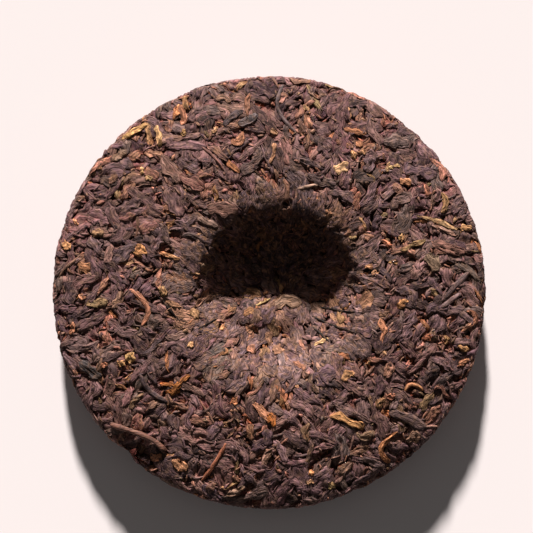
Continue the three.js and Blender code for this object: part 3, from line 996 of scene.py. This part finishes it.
    def ripple(self, kind: LeafKind, course: Course, across: np.ndarray, widths: np.ndarray) -> np.ndarray:
        """Gives the grooves along a leaf and the creases over it.

        Args:
            kind: The leaf's kind.
            course: Its middle line.
            across: The places of its lanes, from -1 at one edge to 1 at the other.
            widths: The half width at each of its points.

        Returns:
            A height for each point, as a share of the groove's depth.
        """
        rng = self.rng
        share = np.linspace(0, 1, kind.stations)[:, None]
        phase = rng.uniform(0, self.LAST_GROOVE_PHASE) + kind.twist * rng.normal(0, 1) * 2 * math.pi * share
        turns = math.pi / 2 * self.between(kind.grooves) * across * self.GROOVE_SPREAD
        grooves = 2 * np.abs(np.sin(turns + phase)) - 1
        along = np.repeat(course.travelled[:, None] / self.CREASE_LENGTH, kind.lanes, axis=1)
        places = np.stack([along, across * widths / self.CREASE_WIDTH], axis=-1)
        creases = 2 * np.abs(self.creases(places + rng.uniform(0, SmoothNoise.LATTICE, 2)))
        return self.GROOVE_SHARE * grooves + self.CREASE_SHARE * (creases - self.CREASE_LEVEL)

    def rest(self, kind: LeafKind, flat: np.ndarray) -> np.ndarray:
        """Gives the height at which a leaf rests: borne across its width, and draped as its kind is."""
        beneath = smoothed(self.pressed.top[self.pressed.cell(flat)], 1)
        mean, peak = beneath.mean(axis=1, keepdims=True), beneath.max(axis=1, keepdims=True)
        borne = smoothed(self.MEAN_BEARING * mean + self.PEAK_BEARING * peak, self.BEARING_PASSES)
        return (1 - kind.drape) * borne + kind.drape * beneath

    def pressed_in(self, flat: np.ndarray, height: np.ndarray, proud: float) -> np.ndarray:
        """Lowers a leaf where it stands out of the mould, each station as a whole.

        Args:
            flat: The places of its points.
            height: Their heights.
            proud: How far it may stand above the mould's surface.

        Returns:
            The lowered heights.
        """
        limit = self.pressed.limit[self.pressed.cell(flat)] + proud
        over = smoothed(np.clip((height - limit).max(axis=1, keepdims=True), 0, None), 1)
        return height - (1 - self.KEPT_ABOVE_MOULD) * over

    def keep(
        self, kind: LeafKind, course: Course, colour: Colour, across: np.ndarray,
        flat: np.ndarray, height: np.ndarray, thick: np.ndarray,
    ) -> None:
        """Closes a leaf with one point beneath each station, colours it and keeps it.

        Args:
            kind: The leaf's kind.
            course: Its middle line and widths.
            colour: Its main colour.
            across: The places of its lanes.
            flat: The places of its points.
            height: Their heights.
            thick: Its thickness at each station.
        """
        rng, pressed = self.rng, self.pressed
        middle = height[:, kind.lanes // 2, None]
        low = np.minimum(height.mean(axis=1, keepdims=True), middle) - self.DEPTH_BENEATH * thick
        flat = np.concatenate([flat, course.middle[:, None, :]], axis=1)
        height = np.concatenate([height, low], axis=1)
        lanes = np.append(across, 0.0)
        colours = self.shaded(colour, lanes, height - pressed.limit[pressed.cell(flat)])
        shift = rng.uniform(0, self.PATTERN_REACH), rng.uniform(0, self.PATTERN_REACH)
        along, aside = np.broadcast_arrays(course.travelled[:, None], lanes * course.half_width.mean())
        pattern = np.stack([along, aside], axis=-1) + np.array(shift)
        self.laid.append(LaidLeaf(kind, flat, height, colours, pattern))

    def refined(self, flat: np.ndarray, height: np.ndarray) -> tuple[np.ndarray, np.ndarray]:
        """Fills a leaf's grid of points in along and across, so that no cell under it is missed."""
        grid = np.concatenate([flat, height[..., None]], axis=-1)
        for axis, parts in enumerate(self.FILLED_IN):
            count = grid.shape[axis]
            wanted = np.linspace(0, count - 1, (count - 1) * parts + 1)
            low = np.minimum(wanted.astype(int), count - 2)
            share = np.expand_dims(wanted - low, tuple(k for k in range(3) if k != axis))
            grid = np.take(grid, low, axis) * (1 - share) + np.take(grid, low + 1, axis) * share
        return grid[..., :2], grid[..., 2]

    def shaded(self, colour: Colour, lanes: np.ndarray, rise: np.ndarray) -> np.ndarray:
        """Mottles a leaf's colour, and paints shade on what lies deep and along the leaf's edges.

        Args:
            colour: Its main colour.
            lanes: The places of its points across it.
            rise: The height of its points above the mould.

        Returns:
            A colour for each point.
        """
        rng = self.rng
        tone, hue = np.exp(rng.normal(0, self.TONE_SPREAD)), np.exp(rng.normal(0, self.HUE_SPREAD, 3))
        own = np.array(colour) * tone * hue
        stripes = np.exp(self.STRIPE_SPREAD * rng.normal(0, 1, len(lanes)))[None, :]
        clouds = np.exp(self.CLOUD_SPREAD * smoothed(rng.normal(0, self.CLOUD_RANGE, rise.shape), 1))
        # Painted shade: points deep under the mould's surface are darkened towards red, and the edge lanes
        # are darkened as thin cracks between leaves.
        shallow = ease(rise, *self.DEEP_SHADE_SPAN)[..., None]
        edges = 1 - self.EDGE_PAINTED_SHADE * (np.abs(lanes) > self.EDGE_FROM)[None, :]
        deep_shade = self.DEEP_PAINTED_SHADE + (1 - self.DEEP_PAINTED_SHADE) * shallow
        return own * (stripes * clouds * edges)[..., None] * deep_shade

    def colour_from(self, kind: LeafKind) -> Colour:
        """Draws a colour from a kind's palette."""
        shares = np.array([share for share, _ in kind.palette])
        return kind.palette[self.rng.choice(len(shares), p=shares / shares.sum())][1]

    def scatter(self, counts: tuple[tuple[LeafKind, int], ...], reach: float) -> None:
        """Lays leaves of several kinds in a random order.

        Args:
            counts: How many of each kind.
            reach: How far out from the side's middle they may lie.
        """
        order = np.repeat(np.arange(len(counts)), [count for _, count in counts])
        for k in self.rng.permutation(order):
            kind = counts[k][0]
            self.lay(kind, self.wild_course(kind, reach), self.colour_from(kind))

    def gather(self) -> int:
        """Moves the leaves that show into their heaps.

        Returns:
            How many show.
        """
        pressed = self.pressed
        shown = 0
        for leaf in self.laid:
            upper = slice(0, leaf.kind.lanes)
            gap = pressed.top[pressed.cell(leaf.flat[:, upper])] - leaf.height[:, upper]
            if (gap < self.SEEN_DEPTH).mean() < self.SEEN_SHARE:
                continue
            places = pressed.form.place(pressed.side, leaf.flat, leaf.height)
            places[..., 2] = np.maximum(places[..., 2], 0.0)
            colours = leaf.colours
            around = slice(None)
            if pressed.side is Side.UPPER:
                # Painted shade: the leaves in the dimple's deep part and in the hollow at the rim are
                # darkened.
                colours = colours * pressed.form.painted_shade(places[..., :2])[..., None]
                around = slice(None, None, -1)
            heap = self.heaps[leaf.kind.name]
            heap.places.append(places[:, around].reshape(-1, 3))
            heap.colours.append(colours[:, around].reshape(-1, 3))
            heap.patterns.append(leaf.pattern[:, around].reshape(-1, 2))
            shown += 1
        return shown


def deselect_all() -> None:
    """Leaves nothing selected."""
    bpy.ops.object.select_all(action="DESELECT")


@dataclass
class Core:
    """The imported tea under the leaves: the cake's form, a little smaller, with a rough skin."""

    form: CakeForm
    depth: float = 2.4
    roughness: float = 0.5
    under_roughness: float = 0.2
    lump_length: float = 2.6
    steps: int = 160
    ring_spacing: float = 1.6
    weld: float = 0.02

    def build(self, rng: np.random.Generator) -> bpy.types.Object:
        """Spins the cross-section and roughens the skin.

        Args:
            rng: The source of the unevenness.

        Returns:
            The core.
        """
        deselect_all()
        bpy.ops.mesh.primitive_plane_add(size=1.0)
        core = bpy.context.object
        core.name = core.data.name = "tea_core"
        outline = self.outline() * METRES
        mesh = core.data
        mesh.clear_geometry()
        edges = [(k, k + 1) for k in range(len(outline) - 1)]
        mesh.from_pydata([(radius, 0.0, height) for radius, height in outline], edges, [])
        bpy.ops.object.mode_set(mode="EDIT")
        bpy.ops.mesh.select_all(action="SELECT")
        bpy.ops.mesh.spin(steps=self.steps, angle=2 * math.pi, center=(0, 0, 0), axis=(0, 0, 1))
        bpy.ops.mesh.select_all(action="SELECT")
        bpy.ops.mesh.remove_doubles(threshold=self.weld * METRES)
        bpy.ops.mesh.normals_make_consistent(inside=False)
        bpy.ops.object.mode_set(mode="OBJECT")
        bpy.ops.object.shade_smooth()
        self.roughen(mesh, rng)
        core.data.materials.append(CORE_FINISH.material())
        return core

    def outline(self) -> np.ndarray:
        """Gives the core's half cross-section, from the bottom of the axis to its top."""
        form = self.form
        count = int(form.lengths[-1] / self.ring_spacing)
        along = np.linspace(0, form.lengths[-1], count)
        point = np.column_stack([np.interp(along, form.lengths, form.points[:, k]) for k in (0, 1)])
        tangent = np.column_stack([np.interp(along, form.lengths, form.tangents[:, k]) for k in (0, 1)])
        inward = np.column_stack([-tangent[:, 1], tangent[:, 0]]) * self.depth
        line = point + inward
        line[:, 0] = np.maximum(line[:, 0], 0.0)
        line[[0, -1], 0] = 0.0
        return line

    def roughen(self, mesh: bpy.types.Mesh, rng: np.random.Generator) -> None:
        """Moves the skin in and out, draws it to the knot and sinks the hollow at the rim."""
        count = len(mesh.vertices)
        places = np.empty(count * 3)
        mesh.vertices.foreach_get("co", places)
        places = places.reshape(-1, 3) / METRES
        lumps = SmoothNoise(rng, self.lump_length)
        normals = np.empty(count * 3)
        mesh.vertices.foreach_get("normal", normals)
        upper = normals[2::3] > 0
        radius = np.linalg.norm(places[:, :2], axis=1)
        places[:, :2] += self.form.drawn_in(radius) * upper[:, None]
        shaped = self.form.swelling(places[:, :2]) - self.form.hollow(places[:, :2])
        places[:, 2] += np.where(upper, shaped, 0.0)
        places[:, 2] += np.where(upper, self.roughness, self.under_roughness) * lumps(places[:, :2])
        mesh.vertices.foreach_set("co", (places * METRES).ravel())
        mesh.update()


class NodeSketch:
    """Places nodes in a tree and links them, for shorter material code."""

    def __init__(self, tree: bpy.types.NodeTree) -> None:
        """Takes the tree to draw in."""
        self.tree = tree

    def add(self, kind: str, values: dict | None = None, **settings: object) -> bpy.types.Node:
        """Adds a node.

        Args:
            kind: The node's type.
            values: Its input sockets' values or the sockets to link to them, by name or number.
            **settings: The node's own settings.

        Returns:
            The node.
        """
        node = self.tree.nodes.new(kind)
        for name, value in settings.items():
            setattr(node, name, value)
        for name, value in (values or {}).items():
            socket = node.inputs[name]
            if isinstance(value, bpy.types.NodeSocket):
                self.tree.links.new(value, socket)
            else:
                socket.default_value = value
        return node

    def math(self, operation: str, first: object, second: object) -> bpy.types.NodeSocket:
        """Adds a Math node and gives its result."""
        return self.add("ShaderNodeMath", {0: first, 1: second}, operation=operation).outputs[0]

    def product(self, first: object, second: object) -> bpy.types.NodeSocket:
        """Multiplies two values."""
        return self.math("MULTIPLY", first, second)

    def total(self, first: object, *others: object) -> bpy.types.NodeSocket:
        """Adds values up, one after another."""
        for other in others:
            first = self.math("ADD", first, other)
        return first

    def swing(self, noise: object, weight: object) -> bpy.types.NodeSocket:
        """Weighs a noise around 0 instead of 0.5."""
        return self.product(self.math("SUBTRACT", noise, 0.5), weight)

    def mapped(self, value: object, before: Span, after: Span) -> bpy.types.NodeSocket:
        """Maps one range of values onto another."""
        return self.add("ShaderNodeMapRange", dict(enumerate((value, *before, *after)))).outputs[0]

    def noise(
        self, vector: object, scale: float, detail: float = 3.0, roughness: float = 0.5
    ) -> bpy.types.NodeSocket:
        """Adds a noise around 0.5.

        Args:
            vector: Where to evaluate it.
            scale: Its spans to a unit of length.
            detail: How many finer noises it holds.
            roughness: How strong those are.

        Returns:
            The noise.
        """
        return self.add(
            "ShaderNodeTexNoise", {"Vector": vector, "Scale": scale, "Detail": detail, "Roughness": roughness}
        ).outputs[0]

    def along_leaf(self, vector: object, stretch: tuple[float, float, float]) -> bpy.types.NodeSocket:
        """Adds a noise that is drawn out along the leaf.

        Args:
            vector: The place along and across the leaf, in millimetres.
            stretch: The noise's spans to a millimetre, along and across.

        Returns:
            The noise, around 0.5.
        """
        stretched = self.add("ShaderNodeMapping", {"Vector": vector, "Scale": stretch}).outputs[0]
        return self.noise(stretched, 1.0, roughness=0.6)

    def finish(self, colour: object, roughness: object, gloss: float, bump: float, height: object) -> None:
        """Ends a material with its shader and output.

        Args:
            colour: Its colour.
            roughness: Its roughness.
            gloss: How strong its reflection is.
            bump: How strong its relief is.
            height: The relief's height.
        """
        relief = self.add("ShaderNodeBump", {"Strength": bump, "Distance": RELIEF_DEPTH, "Height": height})
        shader = self.add(
            "ShaderNodeBsdfPrincipled",
            {
                "Base Color": colour, "Roughness": roughness, "Specular IOR Level": gloss,
                "Normal": relief.outputs[0],
            },
        )
        self.add("ShaderNodeOutputMaterial", {"Surface": shader.outputs[0]})


def blank_material(label: str) -> tuple[bpy.types.Material, NodeSketch]:
    """Starts a material with no nodes, and gives it with the sketch to draw them in."""
    material = bpy.data.materials.new(label)
    material.use_nodes = True
    material.node_tree.nodes.clear()
    return material, NodeSketch(material.node_tree)


class LeafSurface:
    """The node group that all leaves share: lengthwise fibres and creases, blotches and fine grit. The
    creases
    also darken the colour: painted shade in them.

    Fibres and creases are given by their spans to a millimetre, along and across the leaf, and blotches and
    grit by theirs to a metre.
    """

    NAME = "Pressed leaf surface"
    INPUTS = {
        "Leaf Colour": "NodeSocketColor",
        "Along Leaf": "NodeSocketVector",
        "Fibre": "NodeSocketFloat",
        "Blotch": "NodeSocketFloat",
        "Warm Colour": "NodeSocketColor",
        "Warmth": "NodeSocketFloat",
        "Roughness": "NodeSocketFloat",
    }
    OUTPUTS = {"Colour": "NodeSocketColor", "Roughness": "NodeSocketFloat", "Height": "NodeSocketFloat"}
    FIBRES = (0.3, 1.9, 1.0)
    CREASES = (0.15, 0.8, 1.0)
    CREASE_HALF_WIDTH = 0.075
    CREASE_PAINTED_SHADE = (0.42, 1.15)
    BLOTCHES = 650.0
    GRIT = 2400.0
    DARKEST = 0.2
    PATCHES = 0.45
    PATCH_EDGE = (0.47, 0.63)
    BLOTCH_SHEEN = -0.15
    FIBRE_HEIGHT = 0.35
    CREASE_HEIGHT = 0.45
    GRIT_HEIGHT = 0.15

    def group(self) -> bpy.types.NodeTree:
        """Builds the group, or gives the one built before."""
        if self.NAME in bpy.data.node_groups:
            return bpy.data.node_groups[self.NAME]
        group = bpy.data.node_groups.new(self.NAME, "ShaderNodeTree")
        for in_out, sockets in (("INPUT", self.INPUTS), ("OUTPUT", self.OUTPUTS)):
            for label, kind in sockets.items():
                group.interface.new_socket(name=label, in_out=in_out, socket_type=kind)
        sketch = NodeSketch(group)
        given = sketch.add("NodeGroupInput").outputs
        along = given["Along Leaf"]
        place = sketch.add("ShaderNodeTexCoord").outputs["Object"]
        fibre = sketch.along_leaf(along, self.FIBRES)
        crease = sketch.math("SUBTRACT", sketch.along_leaf(along, self.CREASES), 0.5)
        crease = sketch.math("ABSOLUTE", crease, 0.0)
        crease = sketch.mapped(crease, (0.0, self.CREASE_HALF_WIDTH), (0.0, 1.0))
        blotch = sketch.swing(sketch.noise(place, self.BLOTCHES), given["Blotch"])
        grit = sketch.noise(place, self.GRIT, detail=2.0)
        shade = sketch.total(sketch.swing(fibre, given["Fibre"]), blotch, 1.0)
        shade = sketch.math("MAXIMUM", shade, self.DARKEST)
        # Painted shade: the colour is darkened along the creases and lifted a little between them.
        shade = sketch.product(shade, sketch.mapped(crease, (0.0, 1.0), self.CREASE_PAINTED_SHADE))
        warm = sketch.mapped(sketch.noise(along, self.PATCHES), self.PATCH_EDGE, (0.0, 1.0))
        mixed = sketch.add(
            "ShaderNodeMix",
            {0: sketch.product(warm, given["Warmth"]), 6: given["Leaf Colour"], 7: given["Warm Colour"]},
            data_type="RGBA",
        ).outputs[2]
        colour = sketch.add("ShaderNodeVectorMath", {0: mixed, 1: shade}, operation="MULTIPLY").outputs[0]
        roughness = sketch.total(given["Roughness"], sketch.product(blotch, self.BLOTCH_SHEEN))
        height = sketch.total(
            sketch.product(fibre, self.FIBRE_HEIGHT),
            sketch.product(crease, self.CREASE_HEIGHT),
            sketch.product(grit, self.GRIT_HEIGHT),
        )
        sketch.add("NodeGroupOutput", {"Colour": colour, "Roughness": roughness, "Height": height})
        return group


@dataclass(frozen=True)
class LeafFinish:
    """How the leaves of one slot look."""

    label: str
    fibre: float
    blotch: float
    warm_colour: Colour
    warmth: float
    roughness: float
    gloss: float
    bump: float

    def material(self) -> bpy.types.Material:
        """Builds the material, or gives the one built before."""
        if self.label in bpy.data.materials:
            return bpy.data.materials[self.label]
        material, sketch = blank_material(self.label)
        colour = sketch.add("ShaderNodeAttribute", attribute_name=COLOUR_ATTRIBUTE).outputs["Color"]
        surface = sketch.add(
            "ShaderNodeGroup",
            {
                "Leaf Colour": colour,
                "Along Leaf": sketch.add("ShaderNodeUVMap", uv_map=PATTERN_MAP).outputs["UV"],
                "Fibre": self.fibre,
                "Blotch": self.blotch,
                "Warm Colour": (*self.warm_colour, 1),
                "Warmth": self.warmth,
                "Roughness": self.roughness,
            },
            node_tree=LeafSurface().group(),
        ).outputs
        sketch.finish(surface["Colour"], surface["Roughness"], self.gloss, self.bump, surface["Height"])
        return material


@dataclass(frozen=True)
class CoreFinish:
    """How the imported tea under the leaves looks."""

    label: str
    light: Colour
    dark: Colour
    lumps_to_a_metre: float = 500.0
    roughness: float = 0.8
    gloss: float = 0.1
    bump: float = 0.6

    def material(self) -> bpy.types.Material:
        """Builds the material."""
        material, sketch = blank_material(self.label)
        place = sketch.add("ShaderNodeTexCoord").outputs["Object"]
        lumps = sketch.noise(place, self.lumps_to_a_metre, detail=4.0)
        ramp = sketch.add("ShaderNodeValToRGB", {0: lumps})
        ramp.color_ramp.elements[0].color = (*self.dark, 1)
        ramp.color_ramp.elements[1].color = (*self.light, 1)
        sketch.finish(ramp.outputs[0], self.roughness, self.gloss, bump=self.bump, height=lumps)
        return material


CORE_FINISH = CoreFinish("Packed tea", light=(0.070, 0.026, 0.017), dark=(0.020, 0.008, 0.006))
FINISHES = {
    "dark_leaf": LeafFinish(
        "Dark pressed leaf", fibre=0.7, blotch=0.8, warm_colour=(0.26, 0.145, 0.095), warmth=0.45,
        roughness=0.66, gloss=0.15, bump=0.7,
    ),
    "brown_leaf": LeafFinish(
        "Brown pressed leaf", fibre=0.9, blotch=0.9, warm_colour=(0.36, 0.18, 0.09), warmth=0.45,
        roughness=0.7, gloss=0.13, bump=0.8,
    ),
    "golden_leaf": LeafFinish(
        "Golden bud", fibre=1.5, blotch=1.0, warm_colour=(0.26, 0.10, 0.05), warmth=0.55,
        roughness=0.7, gloss=0.13, bump=0.7,
    ),
    "stalk": LeafFinish(
        "Tea stalk", fibre=1.0, blotch=0.6, warm_colour=(0.25, 0.13, 0.08), warmth=0.3,
        roughness=0.58, gloss=0.2, bump=0.5,
    ),
}


@dataclass
class LiftedStalk:
    """The stalk that bridges the hollow at the lower left of the rim, clear of the leaves beneath."""

    pixels: tuple[Pixel, ...] = ((109, 425), (124, 429), (140, 434), (155, 441), (166, 453))
    radius: float = 1.08
    sides: int = 10
    rings: int = 21
    rise: Span = (-0.6, 0.9)
    arch: float = 0.6
    swelling: float = 0.12
    swelling_pace: float = 2.3
    colour: Colour = (0.16, 0.07, 0.05)

    def build(self, form: CakeForm) -> bpy.types.Object:
        """Extrudes a ring along the stalk's route, swelling and narrowing it in turn at each step.

        Args:
            form: The cake's form, which the stalk follows.

        Returns:
            The stalk.
        """
        knots = form.laid_out(on_upper_side(self.pixels))
        share = np.linspace(0, 1, self.rings)
        own = np.linspace(0, 1, len(knots))
        flat = smoothed(np.column_stack([np.interp(share, own, knots[:, k]) for k in (0, 1)]), 2)
        ends, middle = self.rise
        height = ends + (middle - ends) * np.sin(math.pi * share) ** self.arch
        line = [Vector(place) * METRES for place in form.place(Side.UPPER, flat, height)]
        deselect_all()
        bpy.ops.mesh.primitive_circle_add(
            vertices=self.sides, radius=self.radius * METRES, fill_type="NGON"
        )
        stalk = bpy.context.object
        stalk.name = stalk.data.name = "lifted_stalk"
        first = (line[1] - line[0]).normalized()
        stalk.rotation_mode = "QUATERNION"
        stalk.rotation_quaternion = Vector((0, 0, 1)).rotation_difference(first)
        stalk.location = line[0]
        bpy.ops.object.transform_apply(location=True, rotation=True, scale=True)
        bpy.ops.object.mode_set(mode="EDIT")
        bpy.ops.mesh.select_all(action="SELECT")
        for k in range(1, len(line)):
            swell = 1.0 + self.swelling * math.sin(self.swelling_pace * k)
            bpy.ops.mesh.extrude_region_move(TRANSFORM_OT_translate={"value": line[k] - line[k - 1]})
            bpy.ops.transform.resize(value=(swell if k % 2 else 1 / swell,) * 3)
        bpy.ops.mesh.select_all(action="SELECT")
        bpy.ops.mesh.normals_make_consistent(inside=False)
        bpy.ops.object.mode_set(mode="OBJECT")
        bpy.ops.object.shade_smooth()
        self.dress(stalk)
        return stalk

    def dress(self, stalk: bpy.types.Object) -> None:
        """Gives the stalk its colour, its pattern and its material."""
        mesh = stalk.data
        colours = np.tile([*self.colour, 1.0], (len(mesh.vertices), 1))
        attribute = mesh.attributes.new(COLOUR_ATTRIBUTE, "FLOAT_COLOR", "POINT")
        attribute.data.foreach_set("color", colours.ravel())
        places = np.empty(len(mesh.vertices) * 3)
        mesh.vertices.foreach_get("co", places)
        places = places.reshape(-1, 3) / METRES
        corners = np.empty(len(mesh.loops), int)
        mesh.loops.foreach_get("vertex_index", corners)
        layer = mesh.uv_layers.new(name=PATTERN_MAP)
        layer.data.foreach_set("uv", places[corners][:, :2].ravel())
        mesh.materials.clear()
        mesh.materials.append(FINISHES["stalk"].material())


@dataclass
class TeaCake:
    """The whole cake: the core, the leaves of every kind on both sides, and the lifted stalk."""

    form: CakeForm = field(default_factory=CakeForm)
    upper: tuple[tuple[LeafKind, int], ...] = (
        (ROLLED_LEAF, 1300), (FOLDED_LEAF, 600), (BROWN_LEAF, 430), (GOLDEN_BUD, 180), (TEA_STALK, 120),
    )
    dimple: tuple[tuple[LeafKind, int], ...] = (
        (ROLLED_LEAF, 100), (BROWN_LEAF, 90), (GOLDEN_BUD, 30), (CRUMB, 150),
    )
    smeared: tuple[tuple[LeafKind, int], ...] = ((SMEARED_LEAF, 230), (GOLDEN_BUD, 16))
    under: tuple[tuple[LeafKind, int], ...] = (
        (ROLLED_LEAF, 720), (FOLDED_LEAF, 320), (BROWN_LEAF, 190), (GOLDEN_BUD, 70), (TEA_STALK, 50),
    )
    crumbs: tuple[tuple[LeafKind, int], ...] = ((CRUMB, 900),)
    rim_overlap: float = 4.0
    dimple_reach: float = 52.0

    def build(self) -> None:
        """Builds and dresses every piece."""
        rng = np.random.default_rng(SEED)
        kinds = [ROLLED_LEAF, FOLDED_LEAF, SMEARED_LEAF, BROWN_LEAF, GOLDEN_BUD, TEA_STALK, PAINTED_CRACK_SHADOW, CRUMB]
        heaps = {kind.name: Heap(kind) for kind in kinds}
        reach = self.form.reach(Side.UPPER) + self.rim_overlap
        upper = LeafLayer(PressedSide(Side.UPPER, self.form, rng), heaps, rng)
        upper.scatter(self.upper, reach)
        upper.scatter(self.dimple, self.dimple_reach)
        upper.scatter(self.smeared, self.dimple_reach)
        upper.scatter(self.crumbs, reach)
        for leaf in SHOWN_LEAVES:
            upper.lay(leaf.kind, upper.shown_course(leaf), leaf.colour, proud=leaf.proud)
        LOG.info("upper side: %d leaves show", upper.gather())
        under = LeafLayer(PressedSide(Side.UNDER, self.form, rng), heaps, rng)
        under.scatter(self.under, self.form.reach(Side.UNDER) + self.rim_overlap)
        LOG.info("under side: %d leaves show", under.gather())
        dressed = [(Core(self.form).build(rng), "dark_leaf"), (LiftedStalk().build(self.form), "stalk")]
        for heap in heaps.values():
            dressed += [(piece, heap.kind.slot) for piece in heap.build(FINISHES[heap.kind.slot])]
        for piece, slot in dressed:
            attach(piece, BODY)
            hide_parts(NODE)
            LOG.info("%s: %d triangles", piece.name, triangle_count(piece))


def triangle_count(piece: bpy.types.Object) -> int:
    """Counts a piece's triangles."""
    return sum(len(face.vertices) - 2 for face in piece.data.polygons)


@dataclass
class Studio:
    """The pale floor, the low key light, the faint fill and the camera."""

    floor_side: float = 4.0
    floor_colour: Colour = (0.946, 0.877, 0.875)
    floor_roughness: float = 0.9
    floor_gloss: float = 0.1
    key_from: tuple[float, float] = (-0.08, 0.997)
    key_elevation: float = math.radians(20.3)
    key_strength: float = 8.8
    key_softness: float = math.radians(4.5)
    key_colour: Colour = (1.0, 0.96, 0.93)
    fill_strength: float = 0.075
    fill_colour: Colour = (1.0, 0.97, 0.95)

    def build(self) -> None:
        """Builds the floor, the lights and the camera."""
        self.build_floor()
        self.build_lights()
        self.build_camera()

    def build_floor(self) -> None:
        """Lays the plain pale floor."""
        deselect_all()
        bpy.ops.mesh.primitive_plane_add(size=self.floor_side)
        floor = bpy.context.object
        floor.name = "floor"
        material = bpy.data.materials.new("Pale floor")
        material.use_nodes = True
        shader = material.node_tree.nodes["Principled BSDF"]
        shader.inputs["Base Color"].default_value = (*self.floor_colour, 1)
        shader.inputs["Roughness"].default_value = self.floor_roughness
        shader.inputs["Specular IOR Level"].default_value = self.floor_gloss
        floor.data.materials.append(material)

    def build_lights(self) -> None:
        """Sets the low light from the photograph's top, and the faint light from all round."""
        towards = Vector((*self.key_from, 0)).normalized() * math.cos(self.key_elevation)
        towards.z = math.sin(self.key_elevation)
        bpy.ops.object.light_add(type="SUN", rotation=towards.to_track_quat("Z", "Y").to_euler())
        sun = bpy.context.object
        sun.name = "key_light"
        sun.data.energy = self.key_strength
        sun.data.angle = self.key_softness
        sun.data.color = self.key_colour
        world = bpy.data.worlds.new("Studio")
        bpy.context.scene.world = world
        world.use_nodes = True
        background = world.node_tree.nodes["Background"]
        background.inputs["Color"].default_value = (*self.fill_colour, 1)
        background.inputs["Strength"].default_value = self.fill_strength

    def build_camera(self) -> None:
        """Hangs the camera over the cake so that the cake fills the frame as in the photograph."""
        middle = from_photo((PHOTO_SIDE / 2, PHOTO_SIDE / 2))
        width = PHOTO_SIDE * CakeForm.rim_radius / PHOTO_RADIUS
        height = CakeForm.section[CakeForm.RIM].height + CAMERA_DISTANCE
        bpy.ops.object.camera_add(location=Vector((*middle, height)) * METRES, rotation=(0, 0, 0))
        camera = bpy.context.object
        camera.name = "camera"
        camera.data.sensor_fit = "HORIZONTAL"
        camera.data.angle = 2 * math.atan(width / 2 / CAMERA_DISTANCE)
        bpy.context.scene.camera = camera
        bpy.context.scene.view_settings.view_transform = "Standard"


def corners(bounds: tuple[Vector, Vector]) -> list[list[float]]:
    """Turns a box's corners into plain lists."""
    return [list(map(float, corner)) for corner in bounds]


def main() -> None:
    """Loads the frame and builds the cake and its studio around it."""
    logging.basicConfig(level=logging.INFO, format="%(message)s")
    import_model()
    TeaCake().build()
    Studio().build()
    bpy.context.view_layer.update()


if __name__ == "__main__":
    main()
